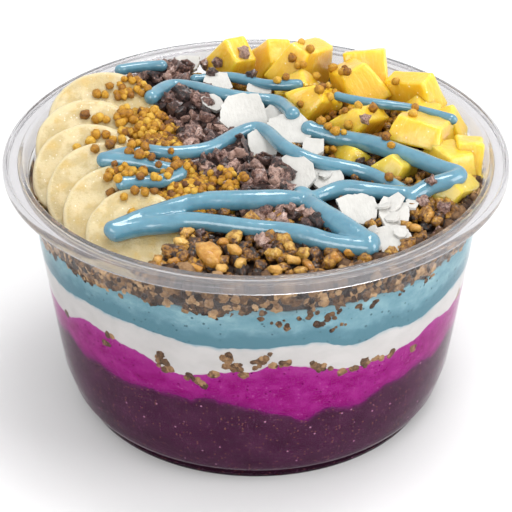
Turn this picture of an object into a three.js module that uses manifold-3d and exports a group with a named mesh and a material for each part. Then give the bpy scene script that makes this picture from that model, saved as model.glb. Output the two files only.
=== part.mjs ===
// A clear deli bowl filled with blended fruit in four layers, a bed of granola on them, and
// toppings in rows: banana slices, bee pollen, cacao nibs, coconut chips, pineapple chunks
// and strands of thick blue drizzle. Millimetres, +Z up. The origin is the centre of the
// base. -Y is the front, where the granola shows; the banana slices are along -X.

import * as THREE from "three";
import { ConvexGeometry } from "three/addons/geometries/ConvexGeometry.js";
import { mergeVertices } from "three/addons/utils/BufferGeometryUtils.js";
import Module from "manifold-3d";

// ---- Driving dimensions ----

const GAP = 0.3; // air between pieces that touch
const SMALLEST = 0.15; // edges finer than this are smoothed away
const SIDES = 32; // facets round the bowl and its layers

const BOWL_HEIGHT = 80;
const RIM_RADIUS = 75;
const WALL = 0.7;
const FLOOR = 2; // height of the bowl's inner floor
const FOOT_HOLLOW = 1.2; // the underside is raised this much inside the foot ring
const FOOT_RING = 4.2; // width of the ring that the bowl stands on
// Outer radius of the wall, by height: a tapered foot, a rounded shoulder, then a steady flare.
const WALL_LINE = [
  [0, 54.8],
  [6, 57.7],
  [14, 60.3],
  [55, 65.5],
  [75, 67.6],
];
const LIP_RADIUS = 69; // inner edge of the flat rim
const LIP_STEP = 4; // the wall steps out to the rim this far below the top
const RIM_THICKNESS = 1;
const RIM_DEPTH = 2.8; // the rim's outer edge is turned down this far
const RIM_EDGE = 1.6; // width of that edge
const EASE = 0.5; // small bevels of the rim

// Heights where one layer meets the next at the wall, every 30 degrees round the bowl from
// +X through the back, the left side and the front.
const ACAI_TOP = [26, 28, 30, 28, 26, 28, 28, 30, 29, 28, 26.5, 28];
const PITAYA_TOP = [45, 44, 45, 47, 44, 43, 44, 45, 46, 46, 42, 44];
const YOGURT_TOP = [49, 51, 53, 52, 50, 50, 51, 52, 54, 53, 51, 50];
const BLUE_TOP = [64, 62, 64, 63, 61, 62, 61, 61, 64, 64, 63.5, 65];

// The granola bed: its height along the wall, how much that rises to the front, and how
// much the middle stands above the edge.
const BED_EDGE = 72.5;
const BED_RISE_FRONT = 2.5;
const BED_DOME = 6;
const HEAP_DEPTH = 2; // the foot of a heap is this far below the bed's surface

const SLICE_THICKNESS = 5.4; // banana
const SLICE_SIDES = 16;
const SOFT = 1.2; // cut off the corners of slices and chunks
const CHIP_THICKNESS = 1.2; // coconut
const CHIP_SIDES = 9;
const GRAIN_RADIUS = 1.55; // bee pollen
const NIB_RADIUS = 2.4; // cacao
const CRUMB_RADIUS = 2.9; // granola

const STRAND_SIDES = 5; // drizzle
const STRAND_STEP = 10; // between the rings of a strand

// Starts of the random draws.
const CHUNK_SEED = 70;
const CHIP_SEED = 90;
const GRAIN_SEED = 7;
const NIB_SEED = 5;
const HEAP_SEED = 9;
const CRUMB_SEED = 3;

// ---- Helpers ----

const wasm = await Module();
wasm.setup();

const degrees = THREE.MathUtils.degToRad;

function dice(seed) {
  let state = seed;
  return () => {
    state = (state * 16807) % 2147483647;
    return state / 2147483647;
  };
}

function solid(geometry) {
  const bare = new THREE.BufferGeometry();
  const loose = geometry.index ? geometry.toNonIndexed() : geometry;
  bare.setAttribute("position", loose.getAttribute("position"));
  const merged = mergeVertices(bare, 1e-4);
  return new wasm.Manifold(
    new wasm.Mesh({
      numProp: 3,
      vertProperties: merged.attributes.position.array,
      triVerts: new Uint32Array(merged.index.array),
    }),
  );
}

function geometryOf(body) {
  const { vertProperties, triVerts } = body.getMesh();
  const geometry = new THREE.BufferGeometry();
  geometry.setAttribute("position", new THREE.BufferAttribute(vertProperties, 3));
  geometry.setIndex(new THREE.BufferAttribute(triVerts, 1));
  geometry.computeVertexNormals();
  return geometry;
}

// The largest piece of a cut body, without loose scraps or edges too fine to matter.
function biggest(body) {
  const largest = body.decompose().sort((a, b) => b.volume() - a.volume())[0];
  return largest.simplify(SMALLEST);
}

// Looks a value up in a list of [at, value] pairs, with straight lines between them.
function along(line, at) {
  const next = line.findIndex(([mark]) => mark > at);
  if (next < 0) return line.at(-1)[1];
  if (next === 0) return line[0][1];
  const [[from, low], [to, high]] = [line[next - 1], line[next]];
  return THREE.MathUtils.mapLinear(at, from, to, low, high);
}

// Looks an angle up in a list of values spread evenly round a circle, with smooth steps.
function round(values, angle) {
  const turn = (((angle / (2 * Math.PI)) % 1) + 1) % 1;
  const place = turn * values.length;
  const first = Math.floor(place) % values.length;
  const second = (first + 1) % values.length;
  const ease = THREE.MathUtils.smoothstep(place - Math.floor(place), 0, 1);
  return THREE.MathUtils.lerp(values[first], values[second], ease);
}

// A turned body whose points `move` then puts in place. The profile is [radius, height]
// pairs from the axis at the bottom to the axis at the top.
function turned(profile, sides, move = () => {}) {
  const points = profile.map(([radius, height]) => new THREE.Vector2(radius, height));
  const geometry = new THREE.LatheGeometry(points, sides).rotateX(Math.PI / 2);
  const spots = geometry.getAttribute("position");
  const point = new THREE.Vector3();
  for (let i = 0; i < spots.count; i += 1) {
    point.fromBufferAttribute(spots, i);
    const side = Math.round((Math.atan2(point.y, point.x) / (2 * Math.PI)) * sides);
    move(point, (side + sides) % sides);
    spots.setXYZ(i, point.x, point.y, point.z);
  }
  return solid(geometry);
}

const union = (bodies) => wasm.Manifold.union(bodies);

// A body set at a place: a position, and turns in degrees, about Z first, then Y, then X.
function frameAt({ at, turn = [0, 0, 0] }) {
  const holder = new THREE.Object3D();
  holder.position.set(...at);
  holder.rotation.set(...turn.map(degrees), "XYZ");
  holder.updateMatrix();
  return holder;
}

function wrapped(bodies) {
  const points = bodies.flatMap((body) => {
    const { vertProperties } = body.getMesh();
    const places = Array.from({ length: vertProperties.length / 3 }, (_, i) => 3 * i);
    return places.map((i) => new THREE.Vector3().fromArray(vertProperties, i));
  });
  return solid(new ConvexGeometry(points));
}

function setDown(body, place) {
  return body.transform(frameAt(place).matrix.elements);
}

// ---- The bowl ----

const wallRadius = (height) => along(WALL_LINE, height) - WALL;

function bowlSection() {
  const foot = WALL_LINE[0][1] - FOOT_RING;
  const outside = WALL_LINE.map(([height, radius]) => [radius, height]);
  const inside = WALL_LINE.filter(([height]) => height > FLOOR)
    .map(([height, radius]) => [radius - WALL, height])
    .reverse();
  const top = BOWL_HEIGHT;
  return [
    [0, FOOT_HOLLOW],
    [foot - FOOT_HOLLOW, FOOT_HOLLOW],
    [foot, 0],
    ...outside,
    [LIP_RADIUS - EASE, top - LIP_STEP],
    [LIP_RADIUS + EASE, top - RIM_THICKNESS],
    [RIM_RADIUS - RIM_EDGE, top - RIM_THICKNESS],
    [RIM_RADIUS - EASE, top - RIM_DEPTH],
    [RIM_RADIUS, top - RIM_DEPTH + EASE],
    [RIM_RADIUS, top - 2 * EASE],
    [RIM_RADIUS - 2 * EASE, top],
    [LIP_RADIUS + EASE, top],
    [LIP_RADIUS - EASE, top - EASE],
    [LIP_RADIUS - 2 * EASE, top - LIP_STEP + EASE],
    ...inside,
    [wallRadius(FLOOR), FLOOR],
    [0, FLOOR],
  ];
}

// The room inside the bowl that food may fill, open at the top.
function insideSection() {
  const wall = WALL_LINE.filter(([height]) => height > FLOOR + GAP);
  const high = 2 * BOWL_HEIGHT;
  return [
    [0, FLOOR + GAP],
    [wallRadius(FLOOR) - GAP, FLOOR + GAP],
    ...wall.map(([height, radius]) => [radius - WALL - GAP, height]),
    [LIP_RADIUS - 2 * EASE - GAP, BOWL_HEIGHT - LIP_STEP + EASE],
    [LIP_RADIUS - EASE - GAP, BOWL_HEIGHT - EASE],
    [LIP_RADIUS - EASE - GAP, high],
    [0, high],
  ];
}

// ---- The layers ----

// A layer that fills the bowl from wall to wall between two surfaces. Each surface is the
// height at a point, given its angle round the bowl and its distance out, from 0 to 1.
// `steps` are the shares of the height where the side bends, and `rings` the distances out
// where the top does.
function layer(bottom, top, { steps = [], rings = [] } = {}) {
  const side = [0, ...steps, 1].map((share) => [1, share]);
  const profile = [[0, 0], ...side, ...rings.map((out) => [out, 1]), [0, 1]];
  return turned(profile, SIDES, (point) => {
    const angle = Math.atan2(point.y, point.x);
    const out = Math.hypot(point.x, point.y);
    const height = THREE.MathUtils.lerp(bottom(angle, out), top(angle, out), point.z);
    const radius = out * (wallRadius(height) - GAP);
    point.set(radius * Math.cos(angle), radius * Math.sin(angle), height);
  });
}

// The surface of one layer: wavy at the wall, and level towards the middle.
function surface(heights) {
  const level = heights.reduce((sum, height) => sum + height, 0) / heights.length;
  return (angle, out) => THREE.MathUtils.lerp(level, round(heights, angle), out * out);
}

const lifted = (heights) => (angle, out) => surface(heights)(angle, out) + GAP;

function bedHeight(x, y) {
  const out = Math.hypot(x, y) / LIP_RADIUS;
  return BED_EDGE - BED_RISE_FRONT * (y / LIP_RADIUS) + BED_DOME * (1 - out * out);
}

function bedTop(angle, out) {
  const radius = out * LIP_RADIUS;
  return bedHeight(radius * Math.cos(angle), radius * Math.sin(angle));
}

// ---- Large toppings ----
// Each returns its solid. With `room` above zero it returns the plainer space that the
// topping needs: the same form, that much larger all round, with sharp edges.

function bananaSlice({ radius }, room = 0) {
  const reach = radius + room;
  const half = SLICE_THICKNESS / 2 + room;
  const rim = room
    ? [[reach, -half], [reach, half]]
    : [[reach - SOFT, -half], [reach, SOFT - half], [reach, half - SOFT], [reach - SOFT, half]];
  return turned([[0, -half], ...rim, [0, half]], SLICE_SIDES);
}

// A chunk: a block, narrower towards its top, with uneven corners that are cut off.
function pineappleChunk({ size, top }, room = 0, seed = 0) {
  const roll = dice(CHUNK_SEED + seed);
  const corners = Array.from({ length: 8 }, (_, i) => {
    const [x, y, z] = [1, 2, 4].map((bit) => (i & bit ? 1 : -1));
    const [narrowX, narrowY] = z > 0 ? top : [1, 1];
    const uneven = () => 0.94 + 0.1 * roll();
    return new THREE.Vector3(
      x * ((size[0] / 2) * narrowX * uneven() + room),
      y * ((size[1] / 2) * narrowY * uneven() + room),
      z * ((size[2] / 2) * uneven() + room),
    );
  });
  if (room) return solid(new ConvexGeometry(corners));
  const cut = corners.flatMap((corner, i) =>
    [1, 2, 4].map((bit) => {
      const next = corners[i ^ bit];
      return corner.clone().lerp(next, SOFT / corner.distanceTo(next));
    }),
  );
  return solid(new ConvexGeometry(cut));
}

// A chip: a thin curled flake with a ragged outline.
function coconutChip({ size }, room = 0, seed = 0) {
  const roll = dice(CHIP_SEED + seed);
  const ragged = Array.from({ length: CHIP_SIDES }, () => 0.78 + 0.3 * roll());
  const curl = 0.012 + 0.02 * roll();
  const half = CHIP_THICKNESS / 2 + room;
  const profile = [[0, -half], [0.55, -half], [1, -half], [1, half], [0.55, half], [0, half]];
  return turned(profile, CHIP_SIDES, (point, side) => {
    const reach = Math.hypot(point.x, point.y) > 0.9 ? ragged[side] : 1;
    point.x *= (size[0] / 2) * reach + room;
    point.y *= (size[1] / 2) * reach + room;
    point.z += curl * point.x * point.x - 0.5 * curl * point.y * point.y;
  });
}

// ---- Drizzle ----

// A body of drizzle: round strands through hand-laid points, with a blob where a strand
// ends or turns back.
function drizzle({ strands, blobs = [] }, room = 0) {
  const ropes = strands.map(({ radius, path }) => {
    const reach = radius + room;
    const corners = Array.from({ length: STRAND_SIDES }, (_, i) => {
      const angle = (2 * Math.PI * i) / STRAND_SIDES;
      return new THREE.Vector2(reach * Math.cos(angle), reach * Math.sin(angle));
    });
    const points = path.map((spot) => new THREE.Vector3(...spot));
    const curve = new THREE.CatmullRomCurve3(points, false, "centripetal");
    const steps = Math.ceil(curve.getLength() / STRAND_STEP);
    const options = { extrudePath: curve, steps, bevelEnabled: false };
    return solid(new THREE.ExtrudeGeometry(new THREE.Shape(corners), options));
  });
  const ends = blobs.map(({ at, radius }) => ball(radius + room, at));
  return union([...ropes, ...ends]);
}

function ball(radius, at) {
  const geometry = new THREE.SphereGeometry(radius, STRAND_SIDES, 3).rotateX(1);
  return solid(geometry).translate(at);
}

// ---- Heaps ----

// A low mound: the upper half of an egg that stands on the bed.
function mound({ at, reach, top, turn }) {
  const base = bedHeight(...at) - HEAP_DEPTH;
  const egg = solid(new THREE.SphereGeometry(1, 8, 6).rotateX(Math.PI / 2));
  const swollen = egg.trimByPlane([0, 0, 1], 0).scale([...reach, top - base]);
  return setDown(swollen, { at: [...at, base], turn: [0, 0, turn] });
}

// What a small lump is made from.
const bead = () => new THREE.IcosahedronGeometry(1, 0);
const kernel = () => new THREE.OctahedronGeometry(1.2, 0);
const shard = () => new THREE.BoxGeometry(1.3, 1.3, 1.3);

// A small lump with uneven corners.
function lump(form, size, at, roll) {
  const bare = form();
  bare.deleteAttribute("normal");
  bare.deleteAttribute("uv");
  const geometry = mergeVertices(bare);
  const spots = geometry.getAttribute("position");
  const corner = new THREE.Vector3();
  for (let i = 0; i < spots.count; i += 1) {
    corner.fromBufferAttribute(spots, i).multiplyScalar(0.82 + 0.3 * roll());
    spots.setXYZ(i, corner.x, corner.y, corner.z);
  }
  const turn = [360 * roll(), 360 * roll(), 360 * roll()];
  return solid(geometry).rotate(turn).scale(size).translate(at);
}

// Fuses bee pollen grains on a piece, except those that would touch what lies round it.
function dotted(body, grains, around) {
  const roll = dice(GRAIN_SEED);
  const size = [GRAIN_RADIUS, GRAIN_RADIUS, GRAIN_RADIUS];
  const beads = grains.map((spot) => lump(bead, size, spot, roll));
  const clear = beads.filter((grain) => grain.intersect(around).volume() === 0);
  return biggest(union([body, ...clear]));
}

// Fuses lumps on a core. Each try picks a spot; a lump that would touch what lies round
// the heap, or crowd an earlier lump, is skipped.
function heaped(core, around, { form, count, seed, radius, spread, pick }) {
  const roll = dice(seed);
  const kept = [];
  const lumps = [];
  for (let tries = 0; lumps.length < count && tries < 12 * count; tries += 1) {
    const spot = pick(roll);
    const size = [0, 1, 2].map(() => radius * (1 - spread + 2 * spread * roll()));
    const body = lump(form, size, spot, roll);
    const near = (other) => Math.hypot(...other.map((v, i) => v - spot[i])) < 1.5 * radius;
    if (kept.some(near) || body.intersect(around).volume() > 0) continue;
    kept.push(spot);
    lumps.push(body);
  }
  return biggest(union([core, ...lumps]).intersect(inside));
}

// A random spot on one of several mounds.
const onMounds = (mounds) => (roll) => {
  const { at, reach, top, turn } = mounds[Math.floor(roll() * mounds.length)];
  const base = bedHeight(...at) - HEAP_DEPTH;
  const out = Math.sqrt(roll());
  const angle = 2 * Math.PI * roll();
  const spot = new THREE.Vector3(
    reach[0] * out * Math.cos(angle),
    reach[1] * out * Math.sin(angle),
    (top - base) * Math.sqrt(1 - out * out),
  );
  spot.applyAxisAngle(new THREE.Vector3(0, 0, 1), degrees(turn));
  return [spot.x + at[0], spot.y + at[1], spot.z + base];
};

// A random spot on the bed, along the front where it shows.
const onBed = (roll) => {
  const angle = -Math.PI * roll();
  const radius = LIP_RADIUS - 6 - 28 * roll();
  const [x, y] = [radius * Math.cos(angle), radius * Math.sin(angle)];
  return [x, y, bedHeight(x, y)];
};

// ---- Where each topping lies ----
// at: centre; turn: degrees about X, Y and Z; size: width, depth and height. grains:
// centres of the bee pollen grains that rest on the piece.

const BANANAS = [
  {
    at: [-46.6, 20.6, 78], turn: [32, 1, 0], radius: 17,
    grains: [[-46.3, 26.6, 85.8], [-39.9, 27.6, 86.3], [-36.6, 28.6, 86.8]],
  },
  {
    at: [-49.4, 6, 76.5], turn: [33, 4, 0], radius: 17,
    grains: [[-51.5, 13.7, 85.7], [-47.8, 12.8, 84.8], [-45.1, 13, 84.7], [-41.9, 13.8, 85]],
  },
  {
    at: [-48.9, -7.2, 74.8], turn: [33, 3, 0], radius: 17.2,
    grains: [[-52.9, -1.3, 83], [-49.1, 0.6, 84], [-42.4, 1.5, 84.1]],
  },
  {
    at: [-44.2, -17.7, 74.6], turn: [32, 1, 0], radius: 17,
    grains: [[-47.1, -6.9, 85.4]],
  },
  {
    at: [-39, -28.6, 74], turn: [31, 0, 0], radius: 16.5,
    grains: [[-42.6, -19.7, 83.3], [-39.1, -20.2, 83], [-41.6, -23.9, 80.8]],
  },
  {
    at: [-34.3, -38.4, 74.2], turn: [29, -2, 0], radius: 14,
    grains: [[-37.5, -29.9, 82.7], [-35.1, -34.6, 80.2]],
  },
];

const PINEAPPLES = [
  { at: [-7.4, 56, 80.6], turn: [26, 19, -61], size: [15, 12, 15], top: [0.63, 0.65] },
  { at: [6.2, 58, 81], turn: [37, 16, 9], size: [12, 12, 12], top: [0.65, 0.7] },
  {
    at: [15.2, 52, 82.2], turn: [-3, 23, -33], size: [14, 21, 14], top: [0.5, 0.82],
    grains: [[14.4, 51, 91.1], [12.9, 44.1, 88.9]],
  },
  { at: [12.5, 39.5, 78.8], turn: [14, -30, 3], size: [14, 10, 9], top: [0.75, 0.75] },
  { at: [35, 48.6, 80.6], turn: [-25, -6, 86], size: [13, 13, 14], top: [0.8, 1] },
  {
    at: [31.1, 38.5, 81.9], turn: [-10, -26, -71], size: [17.5, 14, 13], top: [0.8, 0.65],
    grains: [[23.8, 43, 85.6]],
  },
  {
    at: [49.2, 33.2, 81], turn: [0, -20, -39], size: [16, 11, 13], top: [1, 0.55],
    grains: [[43.3, 31.6, 80.7]],
  },
  { at: [51.5, 25.5, 78.5], turn: [10, 30, 1], size: [12, 9, 8], top: [0.7, 0.7] },
  { at: [58.4, 16.5, 78.8], turn: [11, -20, -9], size: [9, 9, 11], top: [0.7, 0.7] },
  {
    at: [50.2, 8, 82.6], turn: [-14, 11, 68], size: [20, 16.5, 7.5], top: [0.75, 0.85],
    grains: [[46.9, 7.9, 87.8]],
  },
  {
    at: [18.7, 27, 81.5], turn: [8, 51, 42], size: [17, 12, 10], top: [0.85, 0.5],
    grains: [[19.7, 22.8, 88.8]],
  },
  {
    at: [32.2, 14.8, 81.3], turn: [16, 35, 39], size: [17.5, 9, 10], top: [0.7, 0.65],
    grains: [[31.9, 12.9, 87.9]],
  },
  { at: [63, -1, 78.2], turn: [-10, 3, -91], size: [11, 8, 11], top: [0.75, 1] },
  { at: [57, -4, 78.8], turn: [-3, 8, -58], size: [17, 11, 8], top: [0.6, 0.8] },
  { at: [57.8, -18, 75.8], turn: [4, 38, 54], size: [18, 9, 10], top: [0.75, 0.6] },
  { at: [41.5, -8, 77.5], turn: [-3, 34, 53], size: [15, 11, 9], top: [0.75, 0.5] },
  { at: [28, 0.5, 76.6], turn: [14, -40, -46], size: [12, 7, 8], top: [0.8, 0.75] },
];

const COCONUTS = [
  { at: [-22, 56, 80], size: [9, 8], turn: [20, 0, 0] },
  { at: [-12, 37, 83], size: [9, 8], turn: [20, 10, 20] },
  { at: [1, 35, 82], size: [9, 8], turn: [15, 0, 0] },
  { at: [-13, 22, 84], size: [6, 8], turn: [20, 0, 40] },
  { at: [-4, 15, 84.5], size: [15, 16], turn: [30, 0, 10] },
  { at: [6, 18, 82], size: [7, 8], turn: [20, 0, 0] },
  { at: [2, 0, 82], size: [11, 13], turn: [20, 10, 0] },
  { at: [10, 8, 83], size: [13, 14], turn: [12, 0, 30] },
  { at: [17, -2, 82], size: [7, 8], turn: [10, 0, 0] },
  { at: [11, -18, 82], size: [14, 15], turn: [20, -8, 20] },
  { at: [21, -17, 80], size: [10, 10], turn: [15, 0, 0] },
  { at: [29, -34, 80], size: [12, 12], turn: [15, 0, 0] },
  { at: [39, -35, 79], size: [10, 12], turn: [15, 10, 0] },
  { at: [36, -46, 77], size: [16, 10], turn: [10, 0, 10] },
];

// Drizzle: strands that run into each other make one body.
const DRIZZLES = [
  {
    strands: [
      {
        radius: 2.3,
        path: [
          [-44, -14, 84.4], [-34, -8, 84.4], [-27, -10, 84.2], [-20, -8, 83.5], [-13, -5, 82.8],
          [-6, 4, 82.8], [0, 8, 83.5], [4, 3, 84.1], [7, -5, 84.4], [11, -10, 84.4],
          [17, -13, 83.3], [24, -12, 81], [31, -13, 80], [37, -17, 79.4], [44, -25, 78.6],
        ],
      },
      { radius: 2.3, path: [[-44, -14, 84.4], [-36, -15, 84.6], [-30, -17, 84], [-22, -18, 82.4]] },
      { radius: 2.1, path: [[-38, -26, 83.4], [-33, -24, 83], [-27, -24, 82.5], [-22, -19, 82.3]] },
      {
        radius: 2.6,
        path: [
          [-40, -43, 78.4], [-33, -38, 79.6], [-27, -37, 80.7], [-17, -33, 81.8], [-7, -33, 82],
          [0, -33, 82.2], [8, -32, 82], [15, -30, 80.4], [20, -26, 80.2], [25, -24, 80.7],
          [31, -26, 81.2], [37, -26, 80.5], [44, -25, 78.8],
        ],
      },
      { radius: 3.4, path: [[13, -28, 79.8], [18, -37, 80.6], [23, -44, 80.5], [31, -51, 78.8]] },
      {
        radius: 2.9,
        path: [
          [-39, -43, 77.7], [-33, -41, 78.2], [-26, -41, 78.8], [-19, -40, 79.5], [-12, -42, 80],
          [0, -45, 80], [7, -45.5, 79.7], [14, -48, 79.3], [22, -52, 79.1], [31, -53, 78.7],
        ],
      },
      {
        radius: 2.7,
        path: [
          [16, 7, 83], [22, 5, 81.8], [28, 4, 81.2], [34, 1, 81.5], [41, -5, 82.2],
          [48, -9, 81.6], [54, -14, 81.4], [60, -18, 81.8], [55, -22, 81.8], [49, -23, 80.8],
          [44, -27, 78.6],
        ],
      },
    ],
    blobs: [
      { at: [-44, -14, 84.4], radius: 2.5 },
      { at: [-38, -26, 83.4], radius: 2.3 },
      { at: [-22, -18.5, 82.3], radius: 2.5 },
      { at: [-39.8, -43, 78], radius: 3.1 },
      { at: [32, -52.5, 78.7], radius: 3.6 },
      { at: [45, -26, 78.8], radius: 3.1 },
      { at: [16, 7, 83], radius: 2.9 },
    ],
  },
  {
    strands: [
      {
        radius: 2.3,
        path: [
          [-32, 25, 84.4], [-29, 32, 83.4], [-25, 37, 82.8], [-16, 31, 84], [-11, 26, 84.8],
          [0, 24, 84.2], [6, 24, 83.4], [9, 20, 84.1], [11, 13, 85],
        ],
      },
    ],
    blobs: [
      { at: [-32, 25, 84.4], radius: 2.5 },
      { at: [11, 13, 85], radius: 2.5 },
    ],
  },
  {
    strands: [{ radius: 1.9, path: [[-43, 49, 81.5], [-37, 52, 81.5], [-30, 52, 81.5]] }],
    blobs: [{ at: [-43, 49, 81.5], radius: 2.1 }],
  },
  {
    strands: [
      {
        radius: 1.8,
        path: [
          [-19, 40, 82.7], [-12, 42, 83], [-6, 41, 82.9], [0, 37, 83.2], [6, 34, 83.6],
          [13, 34, 84],
        ],
      },
    ],
    blobs: [{ at: [-19, 40, 82.7], radius: 2 }],
  },
  {
    strands: [
      {
        radius: 1.5,
        path: [
          [25, 24, 85.3], [31, 20, 85.6], [38, 18, 85.6], [45, 17, 85.4], [52, 14, 85.4],
          [59, 10, 84.6],
        ],
      },
    ],
  },
];

// Mounds: at, half width and half depth, height of the top, turn about Z.
const NIB_MOUNDS = [
  { at: [-30, 52], reach: [11, 10], top: 81, turn: 0 },
  { at: [-20, 29], reach: [12, 19], top: 84, turn: 5 },
  { at: [-12, -1], reach: [17, 12], top: 84, turn: -65 },
  { at: [-1, -23], reach: [16, 11], top: 83, turn: -55 },
  { at: [13, -39], reach: [14, 8], top: 80.5, turn: -30 },
];

const POLLEN_MOUNDS = [
  { at: [-32, 14], reach: [8, 14], top: 83, turn: 10 },
  { at: [-26, -6], reach: [9, 16], top: 82.5, turn: 15 },
  { at: [-18, -26], reach: [13, 11], top: 81, turn: -30 },
];

// ---- Putting the model together ----

const FINISHES = {
  clear: { color: 0xdde3e6, roughness: 0.1 },
  acai: { color: 0x4b2c40, roughness: 0.5 },
  pitaya: { color: 0xa4358a, roughness: 0.45 },
  yogurt: { color: 0xefecea, roughness: 0.5 },
  blue: { color: 0x83acba, roughness: 0.5 },
  granola: { color: 0xa8742f, roughness: 0.7 },
  banana: { color: 0xe6cf9a, roughness: 0.45 },
  pineapple: { color: 0xf0c53a, roughness: 0.35 },
  coconut: { color: 0xf6f5f0, roughness: 0.7 },
  cacao: { color: 0x5c4238, roughness: 0.75 },
  pollen: { color: 0xd59a2a, roughness: 0.7 },
  drizzle: { color: 0x6ea8c0, roughness: 0.3 },
};

const model = new THREE.Group();

// Adds a body as a mesh. With a place, the mesh's geometry is in that place's own frame.
function add(name, body, finish, place) {
  const material = new THREE.MeshStandardMaterial({ ...FINISHES[finish], metalness: 0 });
  const mesh = new THREE.Mesh(geometryOf(body), material);
  mesh.name = name;
  if (place) {
    const holder = frameAt(place);
    mesh.geometry.applyMatrix4(holder.matrix.clone().invert());
    mesh.position.copy(holder.position);
    mesh.quaternion.copy(holder.quaternion);
  }
  model.add(mesh);
}

add("bowl", turned(bowlSection(), SIDES), "clear");
add("acai_layer", layer(() => FLOOR + GAP, surface(ACAI_TOP), { steps: [0.15, 0.45] }), "acai");
add("pitaya_layer", layer(lifted(ACAI_TOP), surface(PITAYA_TOP)), "pitaya");
add("yogurt_layer", layer(lifted(PITAYA_TOP), surface(YOGURT_TOP)), "yogurt");
add("blue_layer", layer(lifted(YOGURT_TOP), surface(BLUE_TOP)), "blue");

// Everything above the layers stays inside the bowl's wall and clear of what was laid first.
const inside = turned(insideSection(), SIDES);
const drizzles = DRIZZLES.map((one) => biggest(drizzle(one)));
const drizzleRoom = union(DRIZZLES.map((one) => drizzle(one, GAP)));

// Lays pieces down in order, each trimmed to stay clear of the earlier ones and of `above`,
// and then fuses their grains on. Returns the pieces, and the room that each needs with its
// gap.
function lay(places, shape, above) {
  const rooms = places.map((place, i) => setDown(shape(place, GAP, i), place));
  const bodies = places.map((place, i) => {
    const body = setDown(shape(place, 0, i), place).intersect(inside);
    const laid = biggest(body.subtract(union([above, ...rooms.slice(0, i)])));
    const { grains = [] } = place;
    return grains.length ? dotted(laid, grains, union([above, ...rooms.toSpliced(i, 1)])) : laid;
  });
  return { bodies, rooms };
}

const slices = lay(BANANAS, bananaSlice, drizzleRoom);
const chunks = lay(PINEAPPLES, pineappleChunk, drizzleRoom);
const chips = lay(COCONUTS, coconutChip, union([drizzleRoom, ...chunks.rooms]));
const chipRooms = chips.rooms.map((chip) => wrapped([chip]));

// The fan of banana slices with the narrow gaps between neighbours filled.
const fan = union(slices.rooms.slice(1).map((slice, i) => wrapped([slice, slices.rooms[i]])));

const grainRooms = [...BANANAS, ...PINEAPPLES]
  .flatMap(({ grains = [] }) => grains)
  .map((spot) => ball(1.2 * GRAIN_RADIUS, spot));

const bedCore = layer(lifted(BLUE_TOP), bedTop, { rings: [0.8, 0.45] });
const overBed = bedCore.scale([1.01, 1.01, 1]).translate([0, 0, GAP]);
const nibCore = union(NIB_MOUNDS.map(mound));
const pollenCore = union(POLLEN_MOUNDS.map(mound));
const large = union([fan, drizzleRoom, ...chunks.rooms, ...chipRooms, ...grainRooms]);

const nibs = heaped(
  biggest(nibCore.intersect(inside).subtract(union([large, overBed]))),
  union([large, overBed, pollenCore]),
  {
    form: shard,
    count: 26,
    seed: NIB_SEED,
    radius: NIB_RADIUS,
    spread: 0.25,
    pick: onMounds(NIB_MOUNDS),
  },
);
const besidePollen = union([large, overBed, nibCore.translate([0, 0, GAP])]);
const pollen = heaped(
  biggest(pollenCore.subtract(besidePollen)),
  union([besidePollen, nibs]),
  {
    form: kernel,
    count: 28,
    seed: HEAP_SEED,
    radius: GRAIN_RADIUS,
    spread: 0.12,
    pick: onMounds(POLLEN_MOUNDS),
  },
);
const granola = heaped(
  biggest(bedCore.subtract(large)),
  union([large, nibCore, pollenCore, nibs, pollen]),
  { form: bead, count: 28, seed: CRUMB_SEED, radius: CRUMB_RADIUS, spread: 0.35, pick: onBed },
);
add("granola", granola, "granola");
slices.bodies.forEach((body, i) => add(`banana_${i + 1}`, body, "banana", BANANAS[i]));
chunks.bodies.forEach((body, i) => add(`pineapple_${i + 1}`, body, "pineapple", PINEAPPLES[i]));
chips.bodies.forEach((body, i) => add(`coconut_${i + 1}`, body, "coconut", COCONUTS[i]));
add("cacao_nibs", nibs, "cacao");
add("bee_pollen", pollen, "pollen");
drizzles.forEach((body, i) => add(`drizzle_${i + 1}`, body, "drizzle"));

export default model;
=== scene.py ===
"""The looks of a clear bowl of layered fruit blend with toppings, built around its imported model.

Sizes in the lists below are millimetres, +Z up, as in the model; finish_piece() turns them
into metres. -Y is the front, and the banana slices lie along -X.
"""

import math
import random

import bmesh
import bpy
from bpy.props import FloatProperty, FloatVectorProperty, IntProperty, PointerProperty
from mathutils import Matrix, Vector, noise
from mathutils.bvhtree import BVHTree


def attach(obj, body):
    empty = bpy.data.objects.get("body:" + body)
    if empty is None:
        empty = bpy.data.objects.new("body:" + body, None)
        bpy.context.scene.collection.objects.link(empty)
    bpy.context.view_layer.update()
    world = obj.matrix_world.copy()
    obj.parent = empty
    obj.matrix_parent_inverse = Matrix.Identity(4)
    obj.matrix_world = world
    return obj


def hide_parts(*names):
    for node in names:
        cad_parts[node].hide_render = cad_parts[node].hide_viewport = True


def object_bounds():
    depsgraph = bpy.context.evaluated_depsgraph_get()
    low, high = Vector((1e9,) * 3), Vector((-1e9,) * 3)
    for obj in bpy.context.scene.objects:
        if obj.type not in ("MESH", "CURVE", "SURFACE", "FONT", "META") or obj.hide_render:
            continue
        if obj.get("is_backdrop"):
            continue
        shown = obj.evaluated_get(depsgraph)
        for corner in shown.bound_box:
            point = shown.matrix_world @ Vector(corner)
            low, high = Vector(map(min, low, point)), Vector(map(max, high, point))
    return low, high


bl_info = {
    "name": "Layered Fruit Bowl",
    "version": (1, 0, 0),
    "blender": (4, 5, 0),
    "location": "3D View > Sidebar > Fruit Bowl",
    "description": "Dresses the packed model of a clear bowl of layered fruit blend and toppings",
    "category": "Object",
}

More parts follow.
